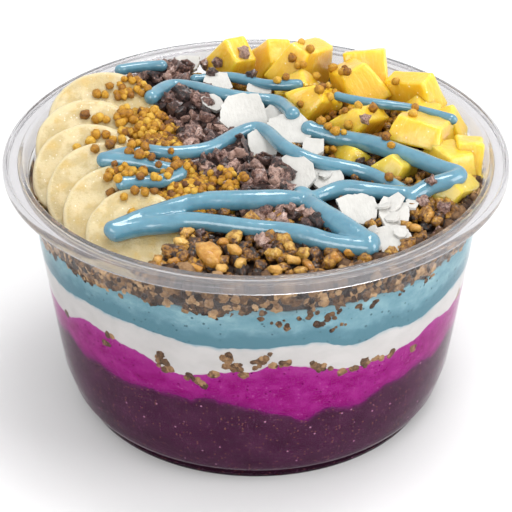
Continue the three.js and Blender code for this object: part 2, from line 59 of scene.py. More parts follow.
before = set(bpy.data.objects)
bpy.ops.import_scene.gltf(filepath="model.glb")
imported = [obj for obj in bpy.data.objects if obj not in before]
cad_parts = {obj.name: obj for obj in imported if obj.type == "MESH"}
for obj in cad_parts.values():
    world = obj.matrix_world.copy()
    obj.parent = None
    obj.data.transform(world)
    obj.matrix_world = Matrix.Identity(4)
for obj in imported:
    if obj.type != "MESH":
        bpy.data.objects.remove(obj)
CAD_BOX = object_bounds()

MM = 0.001
BODY = "root"
# Nothing that lies loose on the food reaches higher than this.
HIGHEST = CAD_BOX[1][2] / MM - 0.05

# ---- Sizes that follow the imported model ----

LIP_RADIUS = 69.0
FOOT_RADIUS = 54.4
WALL = 0.7
# Heights from which the bowl counts as rim and as neck.
RIM_FROM, NECK_FROM = 75.5, 67
# Outer radius of the wall, by height.
WALL_LINE = [(0, 54.8), (6, 57.7), (14, 60.3), (55, 65.5), (75, 67.6)]

# Heights where one layer meets the next at the wall, as (angle from +X in degrees, height).
ACAI_TOP = [
    (-180, 28), (-165, 31), (-151, 35), (-148, 33), (-142, 31), (-139, 33.6), (-134, 31.8),
    (-130, 31.2), (-126, 31), (-120, 32.2), (-114, 32), (-111, 33), (-108, 30.5), (-104, 33.8),
    (-101, 33.3), (-98, 32.2), (-93, 31), (-90, 30.2), (-87, 29), (-84, 28), (-80, 26.4),
    (-77, 24.4), (-74, 26.4), (-71, 28.8), (-67, 27), (-63, 26.2), (-60, 26.3), (-56, 28.8),
    (-54, 30), (-50, 29.4), (-46, 30), (-43, 30.6), (-38, 31.6), (-34, 28.8), (-27, 30),
    (-24, 32.5), (-12, 28), (0, 26), (30, 28), (60, 30), (90, 28), (120, 26), (150, 28),
    (180, 28),
]
PITAYA_TOP = [
    (-180, 44), (-165, 42), (-149, 42), (-144, 45.4), (-141, 47), (-138, 47.2), (-134, 46.2),
    (-131, 47.3), (-127, 45.4), (-123, 45.2), (-118, 43.8), (-114, 41.6), (-110, 40.2),
    (-106, 41.5), (-102, 42.6), (-98, 43.8), (-94, 44.2), (-91, 43.8),
    (-89, 45.2), (-87, 47), (-84, 46.5), (-80, 45.9), (-75, 45), (-72, 42.8), (-68, 42),
    (-63, 41), (-60, 41.4), (-53, 41.2), (-48, 42.2), (-43, 41.7), (-38, 44.9), (-35, 44.5),
    (-28, 42.4), (-12, 44), (0, 45), (30, 44), (60, 45), (90, 47), (120, 44), (150, 43),
    (180, 44),
]
YOGURT_TOP = [
    (-180, 51), (-165, 52.5), (-156, 53), (-148, 52.9), (-144, 54), (-138, 54.9), (-124, 54.8),
    (-118, 54.5), (-113, 54), (-110, 53), (-106, 52.5), (-102, 53.5), (-99, 52.4), (-93, 53.3),
    (-89, 52.7), (-85, 53.3), (-78, 53.6), (-75, 54.4), (-72, 52.9), (-70, 51.5), (-68, 50.4),
    (-64, 49.8), (-60, 50.7), (-57, 51.4), (-53, 51.8), (-49, 49.9), (-44, 49.2), (-40, 50.1),
    (-34, 51), (-27, 51.6), (-12, 50.5), (0, 49), (30, 51), (60, 53), (90, 52), (120, 50),
    (150, 50), (180, 51),
]
BLUE_TOP = [
    (-180, 61), (-165, 61), (-153, 61.6), (-148, 64.6), (-142, 64.8), (-136, 62), (-133, 64.3),
    (-129, 63.5), (-127, 65.3), (-120, 66.3), (-115, 63.6), (-110, 66.6), (-106, 65.2),
    (-103, 64), (-100, 63.7), (-98, 65.8), (-94, 67), (-87, 67.6), (-84, 66), (-78, 66.3),
    (-70, 66), (-60, 65.5), (-57, 65.9), (-53, 64), (-50, 65), (-47, 66.2), (-44, 62.5),
    (-40, 65), (-35, 66), (-31, 64.2), (-20, 64.5), (0, 64), (30, 62), (60, 64), (90, 63),
    (120, 61), (150, 62), (180, 61),
]
# How much of the heights to either side goes into an edge.
EASE = [(-2.4, 0.15), (-1.2, 0.2), (0, 0.3), (1.2, 0.2), (2.4, 0.15)]
# Outer radius of the foot and of the wall above it, by height.
SKIN_LINE = [(0, 53.8), (0.12, 54.4), (0.6, 54.7), (3.1, 55.3), (4.3, 56.9), (6, 57.9), (11, 70)]
# Underside of the lowest layer, which fills the foot, by radius.
FOOT_LINE = [(0, 1.5), (49, 1.5), (51.2, 0.35), (60, 0.35)]
# How far a layer reaches down behind the edge of the one below it.
LAYER_LAP = 3

# Section of the bowl from the axis under the floor, round the rim, to the axis above it.
BOWL_SECTION = [
    (0, 1.2), (30, 1.2), (49.0, 1.2), (49.8, 1.0), (50.5, 0.35), (51.0, 0.08), (51.8, 0),
    (53.8, 0), (54.4, 0.12), (54.7, 0.6), (55.1, 2.6), (55.3, 3.1), (55.9, 3.5), (56.9, 4.3),
    (57.9, 6), (58.6, 8), (59.4, 11),
    (60.3, 14), (61.4, 22), (62.9, 34), (65.5, 55), (66.6, 65), (67.5, 74), (67.8, 75.2),
    (68.4, 76.1), (68.9, 77.3), (69.3, 78.4), (69.9, 79.0), (73.0, 79.05), (73.7, 78.7),
    (74.2, 77.7), (74.5, 77.25), (74.9, 77.4), (75, 77.9), (75, 78.9), (74.8, 79.4),
    (74.4, 79.8), (74.0, 79.95), (73.7, 79.9), (73.5, 79.7), (73.2, 79.6), (71.9, 79.6),
    (70.7, 79.6), (70.3, 79.65), (70.1, 79.85), (69.8, 79.97), (69.4, 80), (69.1, 79.95),
    (68.8, 79.7), (68.2, 78.2), (67.9, 76.8), (67.5, 75.9), (66.8, 74.8), (65.9, 65),
    (64.8, 55), (62.2, 34), (60.7, 22), (59.6, 14), (58.7, 11), (57.8, 8), (57.0, 6),
    (55.9, 3.6), (55.2, 2.4), (54.6, 2.05), (53, 2), (30, 2), (0, 2),
]

# The granola bed: height at the wall, rise to the front, rise to the middle; how deep heaps sit.
BED_EDGE, BED_RISE_FRONT, BED_DOME, HEAP_DEPTH = 72.5, 2.5, 6.0, 2.0
# How far the granola dips at the wall, by angle.
DIP = [(-180, 4), (-160, 4.5), (-145, 7), (-130, 7.5), (-122, 6), (-115, 0), (150, 0), (180, 4)]

# Banana slices: centre, turn about X, Y and Z in degrees, radius.
BANANA_THICKNESS = 5.4
BANANAS = [
    ((-46.6, 20.6, 78), (32, 1, 0), 17),
    ((-49.4, 6, 76.5), (33, 4, 0), 17),
    ((-48.9, -7.2, 74.8), (33, 3, 0), 17.2),
    ((-44.2, -17.7, 74.6), (32, 1, 0), 17),
    ((-39, -28.6, 74), (31, 0, 0), 16.5),
    ((-34.3, -38.4, 74.2), (29, -2, 0), 14),
]

# Pineapple chunks: centre, turn, size, how much narrower the top is, how green.
CHUNK_SEED = 70
PINEAPPLES = [
    ((-7.4, 56, 80.6), (26, 19, -61), (15, 12, 15), (0.63, 0.65), 0),
    ((6.2, 58, 81), (37, 16, 9), (12, 12, 12), (0.65, 0.7), 0),
    ((15.2, 52, 82.2), (-3, 23, -33), (14, 21, 14), (0.5, 0.82), 0),
    ((12.5, 39.5, 78.8), (14, -30, 3), (14, 10, 9), (0.75, 0.75), 0.1),
    ((35, 48.6, 80.6), (-25, -6, 86), (13, 13, 14), (0.8, 1), 0),
    ((31.1, 38.5, 81.9), (-10, -26, -71), (17.5, 14, 13), (0.8, 0.65), 0),
    ((49.2, 33.2, 81), (0, -20, -39), (16, 11, 13), (1, 0.55), 0),
    ((51.5, 25.5, 78.5), (10, 30, 1), (12, 9, 8), (0.7, 0.7), 0.1),
    ((58.4, 16.5, 78.8), (11, -20, -9), (9, 9, 11), (0.7, 0.7), 0.1),
    ((50.2, 8, 82.6), (-14, 11, 68), (20, 16.5, 7.5), (0.75, 0.85), 0),
    ((18.7, 27, 81.5), (8, 51, 42), (17, 12, 10), (0.85, 0.5), 0.1),
    ((32.2, 14.8, 81.3), (16, 35, 39), (17.5, 9, 10), (0.7, 0.65), 0.1),
    ((63, -1, 78.2), (-10, 3, -91), (11, 8, 11), (0.75, 1), 0.1),
    ((57, -4, 78.8), (-3, 8, -58), (17, 11, 8), (0.6, 0.8), 0.2),
    ((57.8, -18, 75.8), (4, 38, 54), (18, 9, 10), (0.75, 0.6), 0.7),
    ((41.5, -8, 77.5), (-3, 34, 53), (15, 11, 9), (0.75, 0.5), 0.7),
    ((28, 0.5, 76.6), (14, -40, -46), (12, 7, 8), (0.8, 0.75), 0.4),
]

# Coconut chips: centre, width and depth, turn.
CHIP_SEED = 90
CHIP_SIDES = 9
# Steps along each side of a chip.
CHIP_STEPS = 6
COCONUTS = [
    ((-22, 56, 80), (9, 8), (20, 0, 0)),
    ((-12, 37, 83), (9, 8), (20, 10, 20)),
    ((1, 35, 82), (9, 8), (15, 0, 0)),
    ((-13, 22, 84), (6, 8), (20, 0, 40)),
    ((-4, 15, 84.5), (15, 16), (30, 0, 10)),
    ((6, 18, 82), (7, 8), (20, 0, 0)),
    ((2, 0, 82), (11, 13), (20, 10, 0)),
    ((10, 8, 83), (13, 14), (12, 0, 30)),
    ((17, -2, 82), (7, 8), (10, 0, 0)),
    ((11, -18, 82), (14, 15), (20, -8, 20)),
    ((21, -17, 80), (10, 10), (15, 0, 0)),
    ((29, -34, 80), (12, 12), (15, 0, 0)),
    ((39, -35, 79), (10, 12), (15, 10, 0)),
    ((36, -46, 77), (16, 10), (10, 0, 10)),
]

# Drizzle: for each body its strands, as a radius and the points that it runs through.
DRIZZLES = [
    [
        (2.3, [
            (-44, -14, 84.4), (-34, -8, 84.4), (-27, -10, 84.2), (-20, -8, 83.5),
            (-13, -5, 82.8), (-6, 4, 82.8), (0, 8, 83.5), (4, 3, 84.1), (7, -5, 84.4),
            (11, -10, 84.4), (17, -13, 83.3), (24, -12, 81), (31, -13, 80), (37, -17, 79.4),
            (44, -25, 78.6),
        ]),
        (2.3, [(-44, -14, 84.4), (-36, -15, 84.6), (-30, -17, 84), (-22, -18, 82.4)]),
        (2.1, [(-38, -26, 83.4), (-33, -24, 83), (-27, -24, 82.5), (-22, -19, 82.3)]),
        (2.6, [
            (-40, -43, 78.4), (-33, -38, 79.6), (-27, -37, 80.7), (-17, -33, 81.8),
            (-7, -33, 82), (0, -33, 82.2), (8, -32, 82), (15, -30, 80.4), (20, -26, 80.2),
            (25, -24, 80.7), (31, -26, 81.2), (37, -26, 80.5), (44, -25, 78.8),
        ]),
        (3.4, [(13, -28, 79.8), (18, -37, 80.6), (23, -44, 80.5), (31, -51, 78.8)]),
        (2.9, [
            (-39, -43, 77.7), (-33, -41, 78.2), (-26, -41, 78.8), (-19, -40, 79.5),
            (-12, -42, 80), (0, -45, 80), (7, -45.5, 79.7), (14, -48, 79.3), (22, -52, 79.1),
            (31, -53, 78.7),
        ]),
        (2.7, [
            (16, 7, 83), (22, 5, 81.8), (28, 4, 81.2), (34, 1, 81.5), (41, -5, 82.2),
            (48, -9, 81.6), (54, -14, 81.4), (60, -18, 81.8), (55, -22, 81.8),
            (49, -23, 80.8), (44, -27, 78.6),
        ]),
    ],
    [
        (2.3, [
            (-32, 25, 84.4), (-29, 32, 83.4), (-25, 37, 82.8), (-16, 31, 84),
            (-11, 26, 84.8), (0, 24, 84.2), (6, 24, 83.4), (9, 20, 84.1), (11, 13, 85),
        ]),
    ],
    [(1.9, [(-43, 49, 81.5), (-37, 52, 81.5), (-30, 52, 81.5)])],
    [
        (1.8, [
            (-19, 40, 82.7), (-12, 42, 83), (-6, 41, 82.9), (0, 37, 83.2), (6, 34, 83.6),
            (13, 34, 84),
        ]),
    ],
    [
        (1.5, [
            (25, 24, 85.3), (31, 20, 85.6), (38, 18, 85.6), (45, 17, 85.4), (52, 14, 85.4),
            (59, 10, 84.6),
        ]),
    ],
]

# Clusters of granola between the pitaya and the yogurt: angle, height, crumbs, spread.
CLUSTERS = [
    (-115.5, 44.8, 6, 2.4), (-113.3, 42.3, 6, 2.4), (-106.8, 40.6, 5, 2.4),
    (-104.7, 39.2, 6, 2.6), (-101.3, 42.7, 5, 2), (-96.8, 49.1, 6, 2.4), (-94.6, 45.9, 7, 2.8),
    (-92.6, 43.8, 5, 2.2), (-90.3, 47.8, 5, 2.2), (-87.5, 49.5, 4, 2), (-84.9, 46.6, 5, 2.4),
    (-82.7, 47.6, 3, 1.8), (-75.3, 45.6, 3, 1.5), (-72.8, 44.3, 6, 2.2), (-66.9, 41.6, 3, 1.8),
    (-64.2, 41.3, 4, 1.8), (-60.3, 41.6, 5, 2), (-57, 41.8, 3, 1.6), (-52.5, 41.4, 4, 2),
    (-43.6, 39.3, 3, 1.6), (-132.7, 42.5, 3, 1.4), (-130.3, 46.3, 3, 1.4),
    (-150.8, 42.5, 2, 1.2), (-20, 44, 5, 2.4), (15, 45.5, 7, 3), (48, 45, 6, 3),
    (80, 46.5, 6, 3), (112, 45, 8, 3), (140, 44, 6, 2.6), (170, 44.5, 6, 3),
]
# Crumbs sunk in the blue blend, in the same way.
SUNK = [
    (-104.8, 65.9, 5, 3), (-99.9, 63.7, 3, 2.4), (-88.6, 65.8, 3, 2), (-85.4, 62.4, 5, 3),
    (-82.4, 60.3, 3, 2), (-79.1, 62.9, 4, 2.4), (-76.9, 64.6, 3, 2), (-74.7, 60.5, 4, 2.2),
    (-72.8, 62.9, 5, 2.4), (-69.7, 58.2, 3, 1.6), (-71.4, 57.2, 2, 1.2), (-69.3, 64.2, 3, 2),
    (-63.3, 63.9, 3, 2), (-59.5, 63.6, 3, 2), (-116.7, 65, 4, 3), (-125.4, 65.1, 4, 3),
    (-135.8, 63.3, 4, 3), (-142.2, 63.8, 4, 2.6), (-150.3, 62.3, 3, 2), (-51.7, 62.9, 3, 2.4),
    (-42.7, 62.4, 3, 2.4), (0, 61, 5, 3), (35, 60, 6, 3), (70, 60, 5, 3), (105, 60, 6, 3),
    (140, 60, 5, 3), (165, 59, 5, 3),
]

# The larger nuts in the granola along the front: x, y, half length, tone, turn about Z.
NUTS = [
    (-12.8, -56.9, 5.2, 0.6, -53), (-20.7, -50.2, 2.3, 0.95, 0), (-18.9, -45.6, 2.3, 0.7, 40),
    (-4.2, -60.2, 2.7, 0.85, 70), (-9, -50.8, 2, 0.5, 20), (-5.8, -54.5, 2.6, 0.7, -30),
    (10.1, -58.7, 2.3, 0.75, 10), (21.3, -57.3, 2.8, 0.45, 30), (-26.8, -57.7, 2.4, 0.6, 80),
    (-16.3, -61.9, 2.2, 0.5, -10), (-9.2, -62.2, 2.3, 0.8, 50), (5.4, -63.1, 2.3, 0.75, 0),
    (-22.1, -59, 2.2, 0.5, 30), (14.4, -61.1, 2, 0.4, -60), (25.8, -54.3, 2.1, 0.55, 15),
    (49.3, -33.4, 2.2, 0.6, 60), (44.6, -40.7, 2.2, 0.7, 20),
]

# Heaps: middle, half width and half depth, height of the top, turn about Z.
NIB_HEAPS = [
    ((-30, 52), (11, 10), 81, 0),
    ((-20, 29), (12, 19), 84, 5),
    ((-12, -1), (17, 12), 84, -65),
    ((-1, -23), (16, 11), 83, -55),
    ((13, -39), (14, 8), 80.5, -30),
]
# Hollow nib shells: place, radius, turn.
CUPS = [
    ((-5.6, -2.1, 83.3), 3.0, (20, -25, 0)), ((2.9, -9.3, 82.2), 3.2, (-5, 20, 40)),
    ((7.2, -17.5, 83), 2.8, (25, 10, 80)), ((-2.5, -20, 83.2), 2.6, (10, -30, 0)),
    ((-22, 51, 82.3), 2.6, (10, 20, 0)), ((-14.5, 12, 85), 2.4, (-20, 15, 0)),
]
POLLEN_HEAPS = [
    ((-32, 14), (8, 14), 83, 10),
    ((-26, -6), (9, 16), 82.5, 15),
    ((-18, -26), (13, 11), 81, -30),
]

# Where single pollen beads lie on other toppings, seen from above.
LOOSE_BEADS = [
    (-46.2, 25.4), (-39.8, 26.3), (-36.5, 27.3), (-34.8, 29.5), (-48.7, 25.7), (-38.9, 26.5),
    (-51.4, 12.5), (-48.1, 11.6), (-46.9, 12.1), (-45, 11.7), (-41.8, 12.7), (-39.8, 13.4),
    (-40.9, 10.8), (-38.3, 13.5), (-37, 12.2), (-39.3, 16.5), (-36.3, 19.4), (-52.8, -2.5),
    (-49, -0.7), (-47.4, 1.4), (-44.5, 1.5), (-42.3, 0.2), (-39.8, 3.1), (-37.8, 8.4),
    (-47, -8.1), (-42.7, -6.7), (-39.7, 0.4), (-42.5, -20.9), (-39, -21.5), (-35.4, -19.3),
    (-41.5, -25.2), (-39.3, -26.9), (-32.8, -19.3), (-30.8, -13.8), (-37.3, -31.1),
    (-34.3, -29.4), (-31.5, -30), (-34.9, -35.9), (-36.1, -10.4), (-32.3, -10.7),
    (-33.7, -16.1), (-32.4, -26.3), (-30, -16.6), (-27.3, -11.7), (39.6, -5.9),
    (38.3, -20), (14.2, 49.9), (13.1, 42.9), (11.3, 44.7), (14.7, 42.6), (17, 45.7),
    (18.9, 43.8), (24.1, 41.9), (23.9, 42), (19.1, 21.5), (9.3, 34.9), (6.5, 33.6),
    (22.6, 23.6), (25.1, 29.3), (28, 32.2), (30.6, 12.5), (19.4, 7.3), (21.4, 4.5),
    (27.6, 9.1), (23.5, 2.9), (46.7, 6.7), (41.6, 28.5), (39.4, 23.3), (38.3, -1.7),
    (43.1, 32.8), (47.9, 14.5), (35.2, 14.4),
]
# Patches where more beads lie: middle, half width and half depth, count.
SPRINKLES = [
    ((-30, -17), (13, 10), 120), ((-17, -25), (14, 8), 130), ((-36, 12), (6, 12), 50),
    ((-38, 28), (7, 4), 20), ((22, 25), (9, 16), 36), ((22, 4), (7, 5), 14),
]
# Where single cacao nibs lie, seen from above.
LOOSE_NIBS = [
    (-16.4, 59), (-13.7, 39.6), (-12.1, 53.9), (-3.8, 51.4), (-1.2, 38.9), (1.2, -7.1),
    (3.5, -10.6), (5.8, -14.3), (5.5, -18.9), (8.3, -21), (9.8, -19.3), (32.6, 8.2),
    (50, -24.6), (51.8, -38), (11.5, -36.3), (15.1, -39.8), (3, -52.3), (1.5, -51),
    (-15.5, -46.8), (47.5, -29.5), (53.5, -30.5),
]

# How many crumbs, nibs and beads are strewn at random.
TOP_CRUMBS, FILL_CRUMBS, SIDE_CRUMBS, HEAPED_NIBS, HEAPED_BEADS = 1750, 800, 1500, 380, 800
# How far from the axis the crumbs on top and those between them lie, and how high at the wall.
TOP_REACH, FILL_REACH, TOP_AT_WALL = 67, 62, 76
# In front of this y the granola has no other topping on it.
BARE_FRONT = -20
# How far a lump may reach into the wall; how far the lumps and bodies of heaps keep from it.
INTO_WALL, HEAP_ROOM, CORE_ROOM = 0.45, 3.2, 2

# The camera: place in metres, lean in degrees, focal length and sensor width in millimetres.
CAMERA_PLACE, CAMERA_LEAN, LENS, SENSOR = (0, -0.52404, 0.3722), 57.84, 141.97, 36


# ---- Helpers: numbers ----


def dice(seed):
    """The same draws as the model's source makes, so that chunks and chips keep their form."""
    state = seed

    def roll():
        nonlocal state
        state = state * 16807 % 2147483647
        return state / 2147483647

    return roll


def along(line, at):
    """Looks a value up in a list of (at, value) pairs, with straight lines between them."""
    if at <= line[0][0]:
        return line[0][1]
    for (start, low), (stop, high) in zip(line, line[1:]):
        if at <= stop:
            return low + (high - low) * (at - start) / (stop - start)
    return line[-1][1]


def polar(radius, angle):
    """x and y of a point at a distance from the axis, at an angle in radians."""
    return radius * math.cos(angle), radius * math.sin(angle)


def out_and_angle(spot):
    """How far a point lies from the axis, and its angle in radians."""
    return math.hypot(spot.x, spot.y), math.atan2(spot.y, spot.x)


def wall_radius(height):
    """Radius of the bowl's inner wall."""
    return along(WALL_LINE, height) - WALL


def inside_wall(spot, room):
    """Moves a spot towards the middle where it lies nearer to the wall than that."""
    out, reach = spot.xy.length, wall_radius(spot.z) - room
    if out > reach:
        spot.x, spot.y = spot.x * reach / out, spot.y * reach / out
    return spot


def around(line, angle):
    """Height of a layer's edge at the wall, at an angle in radians, eased over 5 degrees."""
    turn = (math.degrees(angle) + 180) % 360 - 180
    return sum(share * along(line, turn + step) for step, share in EASE)


def surface(line, angle, out):
    """Height of a layer's top: as measured at the wall, level towards the middle."""
    level = sum(height for _, height in line) / len(line)
    return level + (around(line, angle) - level) * out * out


def bed_height(x, y):
    """Height of the granola, which dips where the banana slices lie against the wall."""
    radius = math.hypot(x, y)
    out = radius / LIP_RADIUS
    flat = BED_EDGE - BED_RISE_FRONT * y / LIP_RADIUS + BED_DOME * (1 - out * out)
    near_wall = min(max((radius - 36) / 14, 0), 1)
    return flat - near_wall * along(DIP, math.degrees(math.atan2(y, x)))


def set_down(at, turn):
    """The matrix that turns a shape about Z, then Y, then X, and puts it at a place."""
    x, y, z = (math.radians(angle) for angle in turn)
    turned = Matrix.Rotation(x, 4, "X") @ Matrix.Rotation(y, 4, "Y") @ Matrix.Rotation(z, 4, "Z")
    return Matrix.Translation(at) @ turned


def flat_toppings():
    """The banana slices and coconut chips, as (matrix into the disc's own axes, radius)."""
    discs = [(at, turn, radius) for at, turn, radius in BANANAS]
    discs += [(at, turn, min(size) / 2) for at, size, turn in COCONUTS]
    return [(set_down(at, turn).inverted(), radius) for at, turn, radius in discs]


def colour(red, green, blue):
    """Linear colour from display values of 0 to 255."""
    shares = (v / 255 for v in (red, green, blue))
    return tuple(v / 12.92 if v <= 0.04045 else ((v + 0.055) / 1.055) ** 2.4 for v in shares)


# ---- Helpers: meshes ----

# Names of the pieces made so far.
LAID = []


def finish_piece(name, bm, material, slot, nodes=(), sharp=None):
    """Makes an object of a bmesh in millimetres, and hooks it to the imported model."""
    bmesh.ops.scale(bm, vec=(MM, MM, MM), verts=bm.verts)
    mesh = bpy.data.meshes.new(name)
    bm.to_mesh(mesh)
    bm.free()
    mesh.shade_smooth()
    if sharp is not None:
        mesh.set_sharp_from_angle(angle=math.radians(sharp))
    mesh.materials.append(material)
    piece = bpy.data.objects.new(name, mesh)
    bpy.context.scene.collection.objects.link(piece)
    LAID.append(piece.name)
    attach(piece, BODY)
    if nodes:
        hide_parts(*nodes)
    return piece


def turn_section(section, sides):
    """A closed body turned about Z from a section that starts and ends on the axis."""
    bm = bmesh.new()
    points = [bm.verts.new((radius, 0, height)) for radius, height in section]
    edges = [bm.edges.new(pair) for pair in zip(points, points[1:])]
    bmesh.ops.spin(
        bm, geom=points + edges, cent=(0, 0, 0), axis=(0, 0, 1), dvec=(0, 0, 0),
        angle=math.tau, steps=sides, use_merge=True, use_duplicate=False,
    )
    bmesh.ops.remove_doubles(bm, verts=bm.verts, dist=0.0005)
    bmesh.ops.recalc_face_normals(bm, faces=bm.faces)
    return bm


def roughen(bm, size, height, seed=0.0, stretch=(1, 1, 1)):
    """Moves each point along its normal by a fractal pattern of that size and height."""
    bm.normal_update()
    shift = Vector((seed, 2 * seed, 3 * seed))
    moves = []
    for v in bm.verts:
        spot = Vector(c * s / size for c, s in zip(v.co, stretch)) + shift
        moves.append(v.normal * (height * noise.fractal(spot, 1.0, 2.0, 3)))
    for v, move in zip(bm.verts, moves):
        v.co += move


def crumple(bm, cuts, ball, depth, rng):
    """Adds a cube rounded by that share towards a ball, with dents from a pattern of its own."""
    bmesh.ops.create_cube(bm, size=1.25)
    bmesh.ops.subdivide_edges(bm, edges=bm.edges[:], cuts=cuts, use_grid_fill=True)
    shift = Vector((9 * rng.random(), 9 * rng.random(), 0))
    for v in bm.verts:
        v.co = v.co.lerp(v.co.normalized(), ball)
        v.co *= 1 + depth * noise.noise(1.5 * v.co + shift)


def lump_mesh(form, size, place, rng, uneven, tone):
    """One small lump as a bmesh with its tone in a point attribute."""
    bm = bmesh.new()
    tones = bm.verts.layers.float.new("tone")
    curl = rng.gauss(0, 0.35)
    if form == "shard":
        crumple(bm, 2, 0.7, 0.7, rng)
        for v in bm.verts:
            v.co.z += curl * v.co.x**2 - 0.6 * curl * v.co.y**2
    elif form == "flake":
        bmesh.ops.create_circle(bm, cap_ends=True, radius=1, segments=7)
        faces = bmesh.ops.extrude_face_region(bm, geom=bm.faces[:])["geom"]
        raised = [v for v in faces if isinstance(v, bmesh.types.BMVert)]
        bmesh.ops.translate(bm, vec=(0, 0, 0.9), verts=raised)
        bmesh.ops.recalc_face_normals(bm, faces=bm.faces)
    elif form == "nut":
        crumple(bm, 3, 0.72, 0.4, rng)
    elif form == "crumb":
        crumple(bm, 2, 0.75, 0.55, rng)
    else:
        crumple(bm, 1, 1.0, 0.3, rng)
    for v in bm.verts:
        v.co = v.co * (1 - uneven + 2 * uneven * rng.random())
        v[tones] = tone
    bmesh.ops.scale(bm, vec=size, verts=bm.verts)
    bmesh.ops.transform(bm, matrix=place, verts=bm.verts)
    return bm


class Scatter:
    """Gathers small lumps in one mesh."""

    def __init__(self, form, seed, uneven):
        self.heap = bmesh.new()
        self.heap.verts.layers.float.new("tone")
        self.rng = random.Random(seed)
        self.form = form
        self.uneven = uneven
        self.scratch = bpy.data.meshes.new("scratch")

    def add(self, at, size, tone, tilt=None):
        turn = Matrix.Rotation(self.rng.random() * math.tau, 4, "Z")
        if tilt is None:
            for axis in "XY":
                turn = turn @ Matrix.Rotation(self.rng.random() * math.tau, 4, axis)
            place = Matrix.Translation(at) @ turn
        else:
            place = Matrix.Translation(at) @ tilt
        lump = lump_mesh(self.form, size, place, self.rng, self.uneven, tone)
        lump.to_mesh(self.scratch)
        lump.free()
        self.heap.from_mesh(self.scratch)

    def done(self):
        """The mesh, pressed flat where it would reach through the wall."""
        bpy.data.meshes.remove(self.scratch)
        for v in self.heap.verts:
            inside_wall(v.co, -INTO_WALL)
        return self.heap


def seen_from_above(names):
    """A function that gives the highest point of the named pieces at x and y, in mm, or None."""
    bpy.context.view_layer.update()
    graph = bpy.context.evaluated_depsgraph_get()
    trees = [BVHTree.FromObject(bpy.data.objects[name], graph) for name in names]

    def drop(x, y):
        hits = (tree.ray_cast(Vector((x * MM, y * MM, 0.2)), Vector((0, 0, -1))) for tree in trees)
        found = [hit[0].z / MM for hit in hits if hit[0] is not None]
        return max(found) if found else None

    return drop


# ---- Helpers: materials ----


class Finish:
    """A material in the making: the shader, and the nodes that feed it."""

    def __init__(self, name, **values):
        self.material = bpy.data.materials.new(name)
        self.material.use_nodes = True
        self.tree = self.material.node_tree
        self.shader = self.tree.nodes["Principled BSDF"]
        for socket, value in values.items():
            self.shader.inputs[socket.replace("_", " ")].default_value = value

    def node(self, kind, inputs=(), **settings):
        made = self.tree.nodes.new(kind)
        for key, value in settings.items():
            setattr(made, key, value)
        for key, value in dict(inputs).items():
            if isinstance(value, bpy.types.NodeSocket):
                self.tree.links.new(value, made.inputs[key])
            else:
                made.inputs[key].default_value = value
        return made

    def spots(self, stretch=(1, 1, 1), turn=(0, 0, 0)):
        """Object coordinates in millimetres."""
        seat = self.node("ShaderNodeTexCoord")
        scale = tuple(s / MM for s in stretch)
        return self.node(
            "ShaderNodeMapping",
            {"Vector": seat.outputs["Object"], "Scale": scale, "Rotation": turn},
        ).outputs[0]

    def attribute(self, name):
        return self.node("ShaderNodeAttribute", attribute_name=name)

    def noise(self, vector, size, detail=3.0, roughness=0.55):
        """A noise pattern with features of about that many millimetres."""
        values = {"Vector": vector, "Scale": 1 / size, "Detail": detail, "Roughness": roughness}
        return self.node("ShaderNodeTexNoise", values).outputs[0]

    def cells(self, vector, size):
        return self.node("ShaderNodeTexVoronoi", {"Vector": vector, "Scale": 1 / size})

    def ramp(self, value, *stops):
        made = self.node("ShaderNodeValToRGB", {"Fac": value})
        band = made.color_ramp
        while len(band.elements) < len(stops):
            band.elements.new(0.5)
        for element, (place, shade) in zip(band.elements, stops):
            element.position = place
            element.color = (*shade, 1)
        return made.outputs[0]

    def share(self, value, low, high):
        """Maps a value from low to high onto 0 to 1, with soft ends."""
        values = {"Value": value, "From Min": low, "From Max": high}
        return self.node("ShaderNodeMapRange", values, interpolation_type="SMOOTHSTEP").outputs[0]

    def math(self, operation, first, second):
        return self.node("ShaderNodeMath", {0: first, 1: second}, operation=operation).outputs[0]

    def times(self, first, second):
        return self.math("MULTIPLY", first, second)

    def shifted(self, value, pattern, reach):
        """A value moved up and down by a pattern of 0 to 1, over that reach in all."""
        return self.math("ADD", value, self.times(self.math("SUBTRACT", pattern, 0.5), reach))

    def mix(self, first, second, share):
        values = {0: share}
        for key, shade in ((6, first), (7, second)):
            values[key] = (*shade, 1) if isinstance(shade, tuple) else shade
        return self.node("ShaderNodeMix", values, data_type="RGBA").outputs[2]

    def some(self, cells, amount):
        """1 in that share of the cells, 0 in the others."""
        picked = self.node("ShaderNodeSeparateColor", {0: cells.outputs["Color"]}).outputs[0]
        return self.math("LESS_THAN", picked, amount)

    def painted_glints(self, spacing, amount):
        """Painted highlights: small bright dots in patches, where light would glint on wet fruit.
        """
        drops = self.cells(self.spots(stretch=(1, 0.7, 1)), spacing)
        near = self.share(drops.outputs["Distance"], 0.26, 0.12)
        dots = self.times(near, self.some(drops, amount))
        patches = self.share(self.noise(self.spots(), 4), 0.46, 0.56)
        return self.times(dots, self.times(patches, 0.75))

    def paint(self, socket, source):
        self.tree.links.new(source, self.shader.inputs[socket])

    def bump(self, height, distance):
        """Relief from a height pattern, that many millimetres deep."""
        values = {"Height": height, "Distance": distance * MM, "Strength": 1.0}
        self.paint("Normal", self.node("ShaderNodeBump", values).outputs[0])


